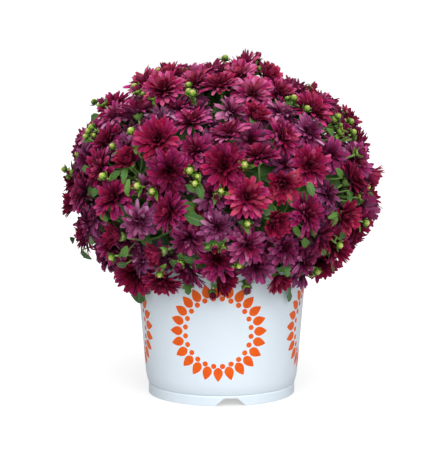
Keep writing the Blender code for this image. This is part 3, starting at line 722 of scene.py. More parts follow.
def leafPaint():
    # a pale midrib at across = 0, and side veins where sideVeins along + slant |across| repeats
    look = leafLook
    paint = Paint("leaves", {"Specular IOR Level": 0.45})
    along, across, back = paint.values("place")
    youth, shade, _ = paint.values("tone")
    grain = paint.noise(*look["grain"])
    deep = paint.timesPlus(grain, look["mottled"], paint.times(shade, look["byShade"]))
    colour = paint.mix(youth, paint.ramp(deep, look["top"]), look["young"])
    wide = paint.sums("ABSOLUTE", across)
    slanted = paint.timesPlus(wide, look["slant"], paint.times(along, look["sideVeins"]))
    nearVein = paint.sums("ABSOLUTE", paint.sums("SUBTRACT", paint.sums("FRACT", slanted), 0.5))
    sideVein = paint.between(nearVein, *look["sideVein"])
    sideVein = paint.times(sideVein, paint.between(wide, *look["sideVeinFade"]))
    veins = paint.sums("MAXIMUM", paint.between(wide, *look["midrib"]), sideVein)
    colour = paint.mix(veins, colour, look["vein"])
    colour = paint.mix(paint.between(wide, *look["edgeSpan"]), colour, look["edge"])
    colour = paint.mix(paint.times(back, look["underShare"]), colour, look["under"])
    byVein, byGrain = look["relief"]
    return paint.finish(look, colour, grain, paint.timesPlus(veins, byVein, paint.times(grain, byGrain)))


stalkLook = {
    "low": "5d7a3a", "high": "8db45c", "stem": "5a6b36", "light": (0.0, 1.0, (0.85, 1.12)),
    "grain": (260.0, 3.0), "wander": 3.0, "ribs": 14.0, "ribLight": 0.06,
    "rough": (0.3, 0.7, (0.42, 0.6)), "bump": (0.4, 0.0002),
}


def stalkPaint():
    # the green lightens from root to tip, with fine ribs, sin(ribs across + wander grain)
    look = stalkLook
    paint = Paint("stalks", {"Specular IOR Level": 0.4})
    along, across, _ = paint.values("place")
    youth, shade, _ = paint.values("tone")
    grain = paint.noise(*look["grain"])
    colour = paint.mix(youth, look["stem"], paint.mix(along, look["low"], look["high"]))
    ribs = paint.sums("SINE", paint.timesPlus(across, look["ribs"], paint.times(grain, look["wander"])))
    light = paint.timesPlus(ribs, look["ribLight"], paint.between(shade, *look["light"]))
    return paint.finish(look, paint.tint(colour, light), grain, ribs)


budLook = {
    "ball": ((0.0, "35601c"), (0.40, "5c8c28"), (0.70, "86a834"), (0.90, "b4c052"), (1.0, "dcd6a0")),
    "mottled": (0.16, 0.08), "tip": "7b2a55", "tipSpan": (0.72, 0.95), "light": (0.0, 1.0, (0.82, 1.12)),
    # the grooves between the ribs carry painted shade
    "bract": (0.0, 1.0, (1.0, 0.50)), "grooveShade": (-1.0, 1.0, (0.66, 1.12)),
    "grain": (500.0, 3.0), "rough": (0.3, 0.7, (0.40, 0.58)), "bump": (0.4, 0.0003),
}


def budPaint():
    # green below, yellow-green above, pale at the middle of the top; some tips blush, and the
    # grooves between the ribs are darkened by painted shade
    look = budLook
    paint = Paint("buds", {"Specular IOR Level": 0.4})
    along, across, _ = paint.values("place")
    blush, shade, bract = paint.values("tone")
    grain = paint.noise(*look["grain"])
    more, less = look["mottled"]
    colour = paint.ramp(paint.timesPlus(grain, more, paint.sums("SUBTRACT", along, less)), look["ball"])
    colour = paint.mix(paint.times(paint.between(along, *look["tipSpan"]), blush), colour, look["tip"])
    light = paint.times(paint.between(shade, *look["light"]), paint.between(bract, *look["bract"]))
    # painted shade: the grooves between the ribs are darker
    light = paint.times(light, paint.between(across, *look["grooveShade"]))
    return paint.finish(look, paint.tint(colour, light), grain, grain)


potLook = {
    "colours": ("dfebf5", "e5f0f9"), "cloud": (14.0, 3.0), "span": (0.3, 0.7), "grain": (900.0, 2.0),
    "rough": (0.3, 0.7, (0.32, 0.42)), "bump": (0.12, 0.0002),
    "sockets": {"Specular IOR Level": 0.5, "Coat Weight": 0.08, "Coat Roughness": 0.25},
}
inkLook = {
    "colours": ("ea560c", "f06612"), "cloud": (160.0, 4.0, 0.6), "span": (0.35, 0.65),
    "rough": (0.3, 0.7, (0.40, 0.52)), "sockets": {"Specular IOR Level": 0.2},
}


def cloudedPaint(name, look):
    # one colour that goes over into another as a noise does, with a fine orange peel where the
    # look has a grain: satin white plastic, and orange ink
    paint = Paint(name, look["sockets"])
    cloud = paint.noise(*look["cloud"])
    peel = paint.noise(*look["grain"]) if "grain" in look else None
    return paint.finish(look, paint.mix(paint.between(cloud, *look["span"]), *look["colours"]), cloud, peel)


soilLook = {
    "peat": ((0.25, "150d09"), (0.55, "33231a"), (0.85, "59412f")), "pale": "c9c4b8",
    "crumb": (420.0, 5.0, 0.65), "cells": 230.0, "speck": (0.10, 0.16, (1.0, 0.0)),
    "rare": (60.0, 1.0), "rareSpan": (0.56, 0.62), "rough": (0.2, 0.8, (0.85, 1.0)), "bump": (0.9, 0.0015),
}


def soilPaint():
    # dark peat, with pale grains at the middles of cells, where a coarse noise is high
    look = soilLook
    paint = Paint("pottingSoil", {"Specular IOR Level": 0.2})
    crumb = paint.noise(*look["crumb"])
    speck = paint.between(paint.onObject("TexVoronoi", "Distance", Scale=look["cells"]), *look["speck"])
    rare = paint.times(speck, paint.between(paint.noise(*look["rare"]), *look["rareSpan"]))
    return paint.finish(look, paint.mix(rare, paint.ramp(crumb, look["peat"]), look["pale"]), crumb, crumb)


paints = {
    "petals": petalPaint(), "leaves": leafPaint(), "stalks": stalkPaint(), "buds": budPaint(),
    "pot": cloudedPaint("potPlastic", potLook), "print": cloudedPaint("orangeInk", inkLook),
    "soil": soilPaint(),
}
print("materials made")


# Petals

# Five layers from the outside in; young, fresh and old hold the rise of each layer's petals in
# degrees, at the base and at the tip, and their lengths as shares of the bloom's radius; pairs in
# jitter are for a fresh and for an old bloom
petalForm = {
    "counts": (22, 21, 18, 15, 11), "fillCounts": (17, 15, 13, 9),
    "baseReach": (0.0036, 0.0032, 0.0027, 0.0019, 0.0010),
    "baseHeight": (-0.0052, -0.0044, -0.0036, -0.0029, -0.0023),
    "width": (0.0051, 0.0050, 0.0047, 0.0041, 0.0032), "widthRange": (0.88, 1.12), "thick": 0.00048,
    "claw": (0.36, 0.64, 0.66, 1.2), "end": (0.62, 0.38), "blunt": (1.5, 3.0), "notch": (-1.5, 1.1),
    "young": ((58, 64, 70, 76, 80), (40, 58, 76, 90, 100), (0.84, 0.80, 0.72, 0.58, 0.42)),
    "fresh": ((24, 35, 46, 58, 70), (2, 16, 34, 54, 80), (0.95, 0.91, 0.80, 0.63, 0.45)),
    "old": ((16, 34, 50, 66, 78), (-72, -48, -20, 12, 46), (0.86, 0.84, 0.76, 0.64, 0.50)),
    "bendPower": 1.2, "cup": (0.20, 0.26, 0.32, 0.38, 0.44), "cupRange": (0.5, 1.5), "cupFall": (1.35, 0.7),
    "rings": ((0.06, 0.34, 0.62, 0.84, 0.97), (0.06, 0.42, 0.76, 0.96), (0.08, 0.55, 0.92)),
    "ringsOf": (0, 0, 1, 1, 2), "fillRingsOf": (1, 1, 2, 2),
    "crowdWithin": 2.4, "crowdSlack": 0.006, "crowdRim": 0.001, "crowdBend": 75, "crowdLength": (0.7, 0.3),
    "jitter": {
        "turn": (0.22, 0.46), "start": (10, 24), "end": (22, 50), "roll": (24, 42), "sway": (0.13, 0.26),
    },
    "lengthRange": ((0.84, 1.06), (0.68, 1.08)), "lightRange": 0.42, "ageRange": 0.22,
    "ageByLayer": (0.16, 0.12, 0.0, -0.2, -0.35), "eyeShare": 0.2, "eyeLight": 0.3, "eyeLayer": 4,
    "button": ((0.0032, -0.0046), (0.0030, -0.0026), (0.0018, -0.0012)), "buttonEnds": (-0.0050, -0.0008),
    # the button's tone gives it the dark base colour, a low light and strong painted core shade
    "buttonSides": 8, "buttonPlace": (0.1, 0.0, 0.0), "buttonTone": (0.0, 0.3, 0.8),
}
bladeEnds = ((0.0, 0.0, 0.5), (1.0, 0.0, 0.3))


def petalWidth(s, blunt):
    # a claw, low + rise sin(pi/2 s / end)^power, times the tip sqrt(1 - ((s - from) / long)^blunt)
    low, rise, end, power = petalForm["claw"]
    start, long = petalForm["end"]
    claw = low + rise * np.sin(math.pi / 2 * np.minimum(1.0, s / end)) ** power
    return claw * np.sqrt(np.maximum(0.0, 1 - np.clip((s - start) / long, 0.0, 1.0) ** blunt[:, None]))


def petalBlades(
    heap, base, out, facing, start, end, length, width, spots, tone, blunt,
    notch=1.0, cup=0.0, roll=0.0, sway=0.0,
):
    # the midline's rise goes from start to end as s^bendPower, and it sways aside as s^2; across
    # it the edges lift as cup v^2, and the blade is a four-sided lens, turned by roll; its tip
    # lies at notch times the way from the last ring
    form = petalForm
    given = (start, end, length, width, blunt, notch, cup, roll, sway)
    given = [np.broadcast_to(value, len(base)) for value in given]
    start, end, length, width, blunt, notch, cup, roll, sway = given
    facing = np.broadcast_to(facing, out.shape)
    spots = np.array(spots)
    s = np.concatenate([[0.0], spots, [1.0]])
    rises = start[:, None] + (end - start)[:, None] * ((s[1:] + s[:-1]) / 2) ** form["bendPower"]
    steps = np.diff(s) * length[:, None]
    flat, high = np.cumsum(np.cos(rises) * steps, axis=1), np.cumsum(np.sin(rises) * steps, axis=1)
    line = base[:, None] + flat[..., None] * out[:, None] + high[..., None] * facing[:, None]
    side = np.cross(facing, out)
    line = line + (sway[:, None] * s[1:] ** 2 * length[:, None])[..., None] * side[:, None]
    rise = start[:, None] + (end - start)[:, None] * spots ** form["bendPower"]
    normal = facing[:, None] * np.cos(rise)[..., None] - out[:, None] * np.sin(rise)[..., None]
    turned, lean = np.cos(roll)[:, None, None], np.sin(roll)[:, None, None]
    sideways = side[:, None] * turned + normal * lean
    normal = normal * turned - side[:, None] * lean
    v = np.array([1.0, 0.0, -1.0, 0.0])
    layer = np.array([0.0, 1.0, 0.0, -1.0]) * form["thick"] / 2
    half = width[:, None] / 2 * petalWidth(spots, blunt)
    atBase, fall = form["cupFall"]
    deep = cup[:, None] * (atBase - fall * spots)
    lift = deep[..., None] * half[..., None] * v**2 + layer
    rings = line[:, :-1, None] + (half[..., None] * v)[..., None] * sideways[:, :, None]
    rings = rings + lift[..., None] * normal[:, :, None]
    tip = line[:, -2] + (line[:, -1] - line[:, -2]) * notch[:, None]
    heap.add(rings, base, tip, placeGrid(spots, v, layer < 0), bladeEnds, tone)


def crowding(i, ways, reach):
    # share of its reach that a petal has before it passes half way to a neighbour, or before it
    # meets the rim, at most 1
    middle = blooms["middle"][i]
    away = mainMiddles - middle
    length = np.linalg.norm(away, axis=1)
    near = (length > 0) & (length < petalForm["crowdWithin"] * bloomPlan["radius"])
    normals, offsets = away[near] / length[near, None], length[near] / 2 + petalForm["crowdSlack"]
    if middle[2] < lowSpot:
        outward = levelWay(middle)
        normals = np.vstack([normals, -outward])
        offsets = np.append(offsets, outward @ middle - rimOut - petalForm["crowdRim"])
    slope = ways @ normals.T
    allowed = np.where(slope > 1e-6, offsets / np.maximum(slope, 1e-6), np.inf).min(axis=1)
    return np.minimum(1.0, allowed / reach)


def addButton(heap, middle, facing):
    # the dome under the innermost petals, dark with painted shade: rings of (reach, height) round the
    # bloom's axis
    form = petalForm
    reach, height = np.array(form["button"]).T
    spots = middle + height[:, None] * facing
    rings = ringOf(spots, facing, crossWays(facing)[0], reach, form["buttonSides"])
    low, high = (middle + facing * end for end in form["buttonEnds"])
    heap.add(rings, low, high, form["buttonPlace"], [form["buttonPlace"]] * 2, form["buttonTone"])


def addBloom(heap, i, shade, random):
    # petals in layers, each turned half a petal on the one outside it; what is crowded is shorter
    # and stands up more
    form = petalForm
    middle, facing, radius, age = (blooms[key][i] for key in ("middle", "facing", "radius", "age"))
    first, second = crossWays(facing)
    worn = max(0.0, age)
    loose = {key: fresh + (old - fresh) * worn for key, (fresh, old) in form["jitter"].items()}
    lengthRange = [fresh + (old - fresh) * worn for fresh, old in zip(*form["lengthRange"])]
    least, more = form["crowdLength"]
    hasEye = random.rand() < form["eyeShare"]
    counts, ringsOf = ("counts", "ringsOf") if i < mainCount else ("fillCounts", "fillRingsOf")

    def varied(low=-1, high=1):  # one random number for each petal of a layer
        return random.uniform(low, high, count)

    for k, count in enumerate(form[counts]):
        rises, tips, lengths = (
            np.interp(age, (-1, 0, 1), [form[stage][part][k] for stage in ("young", "fresh", "old")])
            for part in range(3)
        )
        turns = blooms["turn"][i] + fullTurn * (np.arange(count) + 0.5 * (k % 2)) / count
        turns = turns + varied() * loose["turn"]
        out = around(turns, first, second)
        length = radius * lengths * varied(*lengthRange)
        free = crowding(i, out, length + form["baseReach"][k])
        squeezed = (1 - free) * math.radians(form["crowdBend"])
        start = np.radians(rises + varied() * loose["start"])
        end = np.radians(tips + varied() * loose["end"])
        width = form["width"][k] * radius / bloomPlan["radius"] * varied(*form["widthRange"])
        cup = form["cup"][k] * varied(*form["cupRange"])
        roll = np.radians(varied() * loose["roll"])
        sway = varied() * loose["sway"]
        isEye = hasEye and k == form["eyeLayer"]
        light = np.clip(shade + form["lightRange"] * varied() + form["eyeLight"] * isEye, 0, 1)
        aged = age + form["ageRange"] * varied() + form["ageByLayer"][k]
        aged = np.clip(aged + form["eyeLight"] * isEye, 0, 1)
        # painted shade on the inner layers, and none on a pale eye
        coreShade = np.full(count, 0.0 if isEye else max(0.0, k - 1) / 3)
        petalBlades(
            heap, middle + facing * form["baseHeight"][k] + out * form["baseReach"][k], out, facing,
            start + squeezed * 0.5, end + squeezed, length * (least + more * free), width,
            form["rings"][form[ringsOf][k]], np.stack([aged, light, coreShade], axis=-1),
            varied(*form["blunt"]), varied(*form["notch"]), cup, roll, sway,
        )
    addButton(heap, middle, facing)


shades = lookRandom.uniform(*ageLook["shades"], len(blooms["middle"]))
# painted light from above: the higher a bloom sits, the lighter its petals
low, high, most = ageLook["paintedTopLight"]
shades += most * np.clip((blooms["middle"][:, 2] - low) / (high - low), 0.0, 1.0)
for number, spray in enumerate(sprays, 1):
    heap = Heap()
    for bloom in spray:
        addBloom(heap, bloom, shades[bloom], lookRandom)
    heap.piece(f"bloomSpray_{number:02d}", paints["petals"], "petals", [f"spray_{number:02d}"], 80)
print("blooms made")


# Stems, branches and the stalk and cup under each bloom; every green thing goes into the heap of
# its own cutting

greenRandom = np.random.RandomState(seeds["layout"] + 2)
extraRandom = np.random.RandomState(seeds["extras"])
stemHeaps, leafHeaps, budHeaps = ([Heap() for _ in stems] for _ in range(3))

# Radii run from root to tip, and grids are (rings, sides)
stalkForm = {
    "stemGrid": (14, 14), "branchGrid": (14, 8), "split": (0.62, 0.92), "deep": 0.0128, "straight": 0.030,
    "radii": (0.0014, 0.0012, 0.0013),
    "cupHeights": (0.0, 0.0022, 0.0046, 0.0068), "cupReach": (0.0013, 0.0034, 0.0046, 0.0050),
    "cupSides": 12, "cupPoints": 0.0010, "cupEnds": (-0.0004, 0.0050), "cupSpan": (0.3, 0.9),
    "cupShade": 0.6, "stemShade": 0.4, "branchYouth": 0.6,
}


def addTwig(index, corners, radii, shade, rings=8, sides=6):
    # a young stalk of one cutting
    addStalk(stemHeaps[index], corners, radii, rings, sides, (1.0, shade, 0.0))


def addCup(heap, base, way, shade):
    # the green cup under a bloom: a bowl whose rim is cut into points by cos(pi k)
    form = stalkForm
    sides, span = form["cupSides"], form["cupSpan"]
    spots = base + np.array(form["cupHeights"])[:, None] * way
    rings = ringOf(spots, way, crossWays(way)[0], form["cupReach"], sides)
    rings[-1] += (form["cupPoints"] * everyOther(sides))[:, None] * way
    place = placeGrid(np.linspace(*span, len(spots)), everyOther(sides))
    low, high = (base + way * end for end in form["cupEnds"])
    heap.add(rings, low, high, place, [(along, 0.0, 0.0) for along in span], (1.0, shade, 0.0))


# v is where across the blade a side of it lies, and layer its height in half thicknesses
leafForm = {
    "rings": (0.04, 0.16, 0.27, 0.36, 0.46, 0.55, 0.64, 0.77, 0.93),
    "notches": ((0.36, 0.05, 0.42), (0.64, 0.05, 0.38)),
    "v": (1.0, 0.5, 0.0, -0.5, -1.0, 0.0), "layer": (0.0, 1.0, 0.1, 1.0, 0.0, -1.9),
    "thick": 0.00055, "slant": 0.22, "fold": (0.05, 0.35), "wave": (0.05, 0.22), "waves": 7,
}


def leafWidth(s, lobed):
    # an egg-shaped outline, sin(pi s^0.8)^0.75, cut by a notch at each pair of lobes
    whole = np.sin(math.pi * s ** 0.8) ** 0.75
    for spot, width, deep in leafForm["notches"]:
        whole = whole * (1 - lobed * deep * np.exp(-(((s - spot) / width) ** 2)))
    return whole


def leafOn(index, base, way, toward, length, width, bend, youth, random, lobed=1.0):
    # the midline turns from way over towards toward by an angle that runs between the two of bend,
    # in degrees; the sides lift as fold |v|, ripple as wave sin(waves s + v) v^2, and slant ahead
    form = leafForm
    over = unit(toward - way * (toward @ way))
    tone = (youth, random.rand(), 0.0)
    fold, wave = random.uniform(*form["fold"]), random.uniform(*form["wave"])
    spots = np.array(form["rings"])
    s = np.concatenate([[0.0], spots, [1.0]])
    first, last = np.radians(bend)
    angle = first + (last - first) * (s[1:] + s[:-1]) / 2
    steps = np.diff(s) * length
    line = base + np.outer(np.cumsum(np.cos(angle) * steps), way)
    line = line + np.outer(np.cumsum(np.sin(angle) * steps), over)
    turn = (first + (last - first) * spots)[:, None]
    along = way * np.cos(turn) + over * np.sin(turn)
    normal = way * np.sin(turn) - over * np.cos(turn)
    v, layer = np.array(form["v"]), np.array(form["layer"]) * form["thick"] / 2
    half = (width / 2 * leafWidth(spots, lobed))[:, None]
    reach = half * v
    ripple = wave * np.sin(form["waves"] * spots[:, None] + v) * v**2 * half
    lift = fold * np.abs(reach) + ripple + layer
    ahead = form["slant"] * np.abs(reach)
    rings = line[:-1, None] + reach[..., None] * np.cross(way, over)
    rings = rings + lift[..., None] * normal[:, None] + ahead[..., None] * along[:, None]
    leafHeaps[index].add(rings, base, line[-1], placeGrid(spots, v, layer < 0), bladeEnds, tone)


budForm = {
    "rings": (0.04, 0.18, 0.40, 0.64, 0.84, 0.95), "radius": 0.0038, "length": 0.0074, "openLength": 0.0054,
    "round": (0.9, 0.55), "sides": 12, "ribs": (6, 0.05), "top": 0.97,
    "bracts": 7, "bractRings": (0.1, 0.5, 0.85), "bractBase": 0.0008, "bractTurn": 0.15,
    "bractRise": (0, 16), "bractBend": (62, 108), "bractLength": 0.0056, "bractLong": (1.1, 1.6),
    "bractWidth": 0.0030, "bractWide": (0.9, 1.1), "bractBlunt": 1.3, "bractShade": 0.6,
}


def addBud(heap, foot, way, size, opening, shade, random):
    # a ball, sin(pi s^0.9)^0.55, a little ribbed, with a ring of pointed bracts that hug its lower
    # half; an opening bud is a shorter cup
    form = budForm
    s = np.array(form["rings"])
    length, radius = form["openLength" if opening else "length"] * size, form["radius"] * size
    skew, power = form["round"]
    first, second = crossWays(way)
    reach = radius * np.sin(math.pi * s ** skew) ** power
    rings = ringOf(foot + s[:, None] * length * way, way, first, reach, form["sides"], *form["ribs"])
    place = placeGrid(s, everyOther(form["sides"]))
    ends = blank, (1.0, 0.0, 0.0)
    heap.add(rings, foot, foot + way * length * form["top"], place, ends, (float(opening), shade, 0.0))
    count, jitter = form["bracts"], form["bractTurn"]
    turns = fullTurn * np.arange(count) / count + random.uniform(-jitter, jitter, count)
    out = around(turns, first, second)
    start, end = (np.radians(random.uniform(*form[key], count)) for key in ("bractRise", "bractBend"))
    long = form["bractLength"] * size * random.uniform(*form["bractLong"], count)
    wide = form["bractWidth"] * size * random.uniform(*form["bractWide"], count)
    petalBlades(
        heap, foot + out * form["bractBase"] * size, out, way, start, end, long, wide,
        form["bractRings"], (0.0, shade * form["bractShade"], 1.0), form["bractBlunt"],
    )


for stem, paths, heap in zip(stems, branches, stemHeaps):
    addStalk(heap, stem, stemPlan["radii"], *stalkForm["stemGrid"], (0.0, stalkForm["stemShade"], 0.0))
    for path in paths:
        tone = (stalkForm["branchYouth"], extraRandom.rand(), 0.0)
        addStalk(heap, path, stemPlan["branchRadii"], *stalkForm["branchGrid"], tone)


def randomSquare(way, random):
    # a random direction square to way: random - way (random . way)
    made = random.randn(3)
    return unit(made - way * (made @ way))


# One leaf on each bloom's stalk, and sometimes two; cover is the share of a bloom's radius, and
# the heights over its middle, within which a leaf would lie over its face
sideLeaves = {
    "perStalk": 1.3, "down": (0.004, 0.036), "length": (0.028, 0.042), "width": (0.55, 0.72),
    "out": (45, 72), "below": 0.009, "bend": (0, 25), "young": 0.1,
    "cover": (0.8, -0.004, 0.025), "seen": (0.5, 0.8, 1.0),
}


def overBloom(spots, own):
    # whether a spot lies over the face of a bloom that isn't its own: flat < share of the radius,
    # and its height over the middle between low and high
    share, low, high = sideLeaves["cover"]
    away = spots[:, None] - blooms["middle"]
    height = (away * blooms["facing"]).sum(axis=-1)
    flat = np.linalg.norm(away - height[..., None] * blooms["facing"], axis=-1)
    covers = (flat < share * blooms["radius"]) & (height > low) & (height < high)
    covers[:, own] = False
    return covers.any()


for spray, (index, path) in zip(sprays, owners):
    for bloom in spray:
        facing = blooms["facing"][bloom]
        back = blooms["middle"][bloom] - facing * stalkForm["deep"]
        if bloom != spray[0]:
            split = path[0] + (path[1] - path[0]) * extraRandom.uniform(*stalkForm["split"])
            corners = [split, back - facing * stalkForm["straight"], back]
            addTwig(index, corners, stalkForm["radii"], extraRandom.rand())
        addCup(stemHeaps[index], back, facing, extraRandom.rand() * stalkForm["cupShade"])
        for _ in range(1 + (extraRandom.rand() < sideLeaves["perStalk"] - 1)):
            low = extraRandom.uniform(*sideLeaves["down"])
            side = randomSquare(facing, extraRandom)
            length = extraRandom.uniform(*sideLeaves["length"])
            width = length * extraRandom.uniform(*sideLeaves["width"])
            # the tip stays below the bloom: cos(lean) <= (depth of the base less the room kept) / length
            lean = math.radians(extraRandom.uniform(*sideLeaves["out"]))
            highest = (stalkForm["deep"] + low - sideLeaves["below"]) / length
            lean = max(lean, math.acos(min(1.0, highest)))
            way = unit(facing * math.cos(lean) + side * math.sin(lean))
            youth = sideLeaves["young"] * extraRandom.rand()
            base = back - facing * low
            if not overBloom(base + way * length * np.array(sideLeaves["seen"])[:, None], bloom):
                leafOn(index, base, way, side, length, width, sideLeaves["bend"], youth, extraRandom)
print("stems and side leaves made")

# Leaves in the widest gaps; those over the rim hang outside it. A lean is (share of the way out,
# share of down, jitter)
outerLeaves = {
    "length": 0.026, "range": (0.8, 1.1), "width": 0.68, "young": 0.3,
    "lean": (1.0, 0.15, 0.25), "down": 0.024, "over": 0.6, "bend": (10, 75),
    "topFrom": 0.27, "topShare": 0.74,
    "lowLean": (0.5, 0.7, 0.2), "lowBase": 0.15, "lowBend": (-10, 20), "lowShare": 0.78,
    "clear": 0.001, "most": 0.010, "radii": (0.0013, 0.0011, 0.0009), "into": 0.001,
}


def besideBlooms(spot, way):
    # moves a leaf out of the nearest bloom: along (spot - middle), square to way, by what is
    # missing of the bloom's radius and a margin
    far = distance(mainMiddles, spot)
    nearest = far.argmin()
    away = spot - mainMiddles[nearest]
    away = unit(away - way * (away @ way))
    missing = blooms["radius"][nearest] + outerLeaves["clear"] - far[nearest]
    return spot + away * np.clip(missing, 0.0, outerLeaves["most"])


form = outerLeaves
for spot, way in leafSpots:
    index, root, bend = stalkTo(spot, way, branches)
    length = form["length"] * extraRandom.uniform(*form["range"])
    if spot[2] < lowSpot:
        outward = levelWay(spot)
        outShare, down, jitter = form["lowLean"]
        lean = unit(outShare * way * (1, 1, 0) - down * up + jitter * greenRandom.randn(3))
        lean = unit(lean + outward * max(0.0, greenPlan["lowLean"] - lean @ outward))
        base = spot - lean * greenPlan["leafLength"] * form["lowBase"]
        toward, turned = -outward, form["lowBend"]
        length *= form["lowShare"]
    else:
        outShare, down, jitter = form["lean"]
        lean = unit(outShare * way - down * up + jitter * greenRandom.randn(3))
        base = besideBlooms(spot, way) - lean * form["down"]
        toward, turned = randomSquare(lean, extraRandom) - form["over"] * up, form["bend"]
    if spot[2] > form["topFrom"]:
        length *= form["topShare"]
    addTwig(index, [root, bend, base + lean * form["into"]], form["radii"], extraRandom.rand(), 7)
    width, youth = length * form["width"], form["young"] * extraRandom.rand()
    leafOn(index, base, lean, toward, length, width, turned, youth, extraRandom)

# Large leaves round the middle of the plant, on a smaller dome inside the blooms
innerLeaves = {
    "count": 170, "reach": (0.62, 0.80), "length": (0.042, 0.056), "width": 0.72, "lowest": 0.150,
    "rise": 0.25, "bend": (-10, 25), "radii": (0.0011, 0.0009), "grid": (3, 5), "stalkShade": 0.3,
}
form = innerLeaves
innerSpots = domePoint(*spreadOverDome(form["count"], form["lowest"]))
for spot, way in zip(innerSpots, domeNormal(innerSpots)):
    spot = dome["z"] * up + (spot - dome["z"] * up) * extraRandom.uniform(*form["reach"])
    index, root, _ = stalkTo(spot, way, branches)
    length = extraRandom.uniform(*form["length"])
    flat = unit(randomSquare(way, extraRandom) + form["rise"] * way)
    base = spot - flat * length * 0.5
    addTwig(index, [root, base], form["radii"], form["stalkShade"], *form["grid"])
    leafOn(index, base, flat, -way, length, length * form["width"], form["bend"], 0.0, extraRandom)


# Buds, most of them on thin stalks that stand a little proud of the blooms. Places are (x, z) in
# millimetres in the front view, and the stalks of an opening bud carry a small dark tuft
budPlan = {
    "closed": (
        (-136, 313), (-128, 309), (-23, 313), (-118, 286), (-129, 275), (-135, 268), (-75, 278), (4, 359),
        (21, 356), (69, 310), (85, 301), (111, 298), (132, 300), (131, 268), (150, 264), (16, 260),
        (-17, 247), (-111, 233), (6, 162), (-59, 149), (31, 136), (-96, 164), (141, 190), (106, 172),
        (89, 139), (-168, 242), (-159, 238), (-38, 250), (153, 226),
    ),
    "opening": (
        (-91, 315), (-66, 314), (-62, 349), (-38, 348), (-49, 331), (38, 360), (33, 352), (95, 329),
        (110, 287), (135, 257), (3, 234), (-4, 191), (5, 177), (-41, 170), (20, 137), (161, 224),
        (129, 229),
    ),
    "hanging": (-10, 125), "hangingOff": 0.006, "hangingWay": (0.0, -0.8, -0.5), "hangingSize": 0.95,
    "sunk": 0.004, "lift": (0.012, 0.010), "gapReach": 0.013, "gapMargin": 0.001, "gapFall": 0.3,
    "outline": 0.045, "rimLift": 0.002, "size": (0.8, 1.05), "lean": 0.15,
    "radii": (0.0011, 0.0010, 0.0010), "leafDown": (0.004, 0.010),
    "inGaps": {"size": (0.85, 1.1), "share": 0.95, "proud": 0.002, "lean": 0.10},
    "others": 46, "otherSpots": 400, "otherAbove": 0.01, "otherBehind": -0.02, "otherLift": (0.0, 0.006),
    "openingShare": 0.3, "pairShare": 0.25, "sideSize": 0.72, "sideDown": 0.012, "sideLong": 0.011,
    "sideOut": 0.75, "sideBend": (0.005, 0.001), "sideRadii": (0.0009, 0.0008, 0.0009), "sideShade": 0.9,
    "sideLeaf": 0.002,
}
youngLeaf = {
    "lean": (30, 60), "long": (0.008, 0.014), "width": 0.34, "bend": (0, 35), "youth": (0.4, 1.0),
    "lobed": 0.2,
}
tuft = {
    "petals": (9, 5), "reach": (0.0022, 0.0009), "long": (0.0082, 0.0070), "wide": 0.0030, "height": 0.0022,
    "rise": (58, 72), "bend": (92, 112), "turn": 0.2, "range": (0.9, 1.1), "blunt": 2.4, "cup": 0.4,
    # the tuft's petals take a little of the painted core shade
    "age": (0, 0.5), "shade": (0.1, 0.5), "coreShade": 0.2,
}
tuftHeap = Heap()


def addTuft(foot, way, size, random):
    # dark petals that stand up out of an opening bud and lean in to its axis
    first, second = crossWays(way)
    for count, reach, long in zip(tuft["petals"], tuft["reach"], tuft["long"]):
        turns = fullTurn * (np.arange(count) + random.rand()) / count
        out = around(turns + random.uniform(-tuft["turn"], tuft["turn"], count), first, second)
        start, end = (np.radians(random.uniform(*tuft[key], count)) for key in ("rise", "bend"))
        shade = random.uniform(*tuft["shade"], count)
        tone = np.stack([random.uniform(*tuft["age"], count), shade, np.full(count, tuft["coreShade"])], axis=-1)
        petalBlades(
            tuftHeap, foot + way * tuft["height"] * size + out * reach * size, out, way, start, end,
            long * size * random.uniform(*tuft["range"], count), tuft["wide"] * size,
            petalForm["rings"][2], tone, tuft["blunt"], cup=tuft["cup"],
        )


def addYoungLeaf(index, base, way, side, random):
    # a narrow young leaf beside a bud: cos(lean) way + sin(lean) side
    form = youngLeaf
    lean = math.radians(random.uniform(*form["lean"]))
    long = random.uniform(*form["long"])
    ahead = unit(way * math.cos(lean) + side * math.sin(lean))
    youth = random.uniform(*form["youth"])
    leafOn(index, base, ahead, side, long, long * form["width"], form["bend"], youth, random, form["lobed"])


def budTwig(foot, way, opening, size, pair, random):
    # a bud on its stalk, with one or two narrow leaves, and maybe a smaller bud from its side
    plan = budPlan
    index, root, bend = stalkTo(foot, way, branches)
    way = unit(way + plan["lean"] * random.randn(3))
    addTwig(index, [root, bend, foot], plan["radii"], 0.5 + random.rand() / 2)
    addBud(budHeaps[index], foot, way, size, opening, random.rand(), random)
    if opening:
        addTuft(foot, way, size, random)
    side = randomSquare(way, random)
    addYoungLeaf(index, foot - way * random.uniform(*plan["leafDown"]), way, side, random)
    if pair:
        start = foot - way * plan["sideDown"]
        ahead = unit(way - plan["sideOut"] * side)
        end = start + ahead * plan["sideLong"]
        along, aside = plan["sideBend"]
        corners = [start, start + ahead * along - side * aside, end]
        addTwig(index, corners, plan["sideRadii"], plan["sideShade"], 6)
        addBud(budHeaps[index], end, ahead, size * plan["sideSize"], False, random.rand(), random)
        addYoungLeaf(index, start + ahead * plan["sideLeaf"], way, -side, random)


gapSpots, gapWays = evenPlaces(greenPlan["spots"], dome["lowest"] - greenPlan["below"])
gapRoom = roomAt(gapSpots, mainMiddles)


def nearestGap(x, z, reach):
    # the widest gap between blooms near a place of the front view, given in millimetres, and the
    # way out there; outside the dome's outline the place stays as it is
    spot = onFront(x, z)
    if spot[1] > -budPlan["outline"]:
        return spot, domeNormal(spot[None])[0]
    far = distance(gapSpots, spot)
    inReach = far < max(reach, far.min() + budPlan["gapMargin"])
    room = np.where(inReach, gapRoom - budPlan["gapFall"] * far, -1.0)
    best = int(room.argmax())
    return gapSpots[best], gapWays[best]


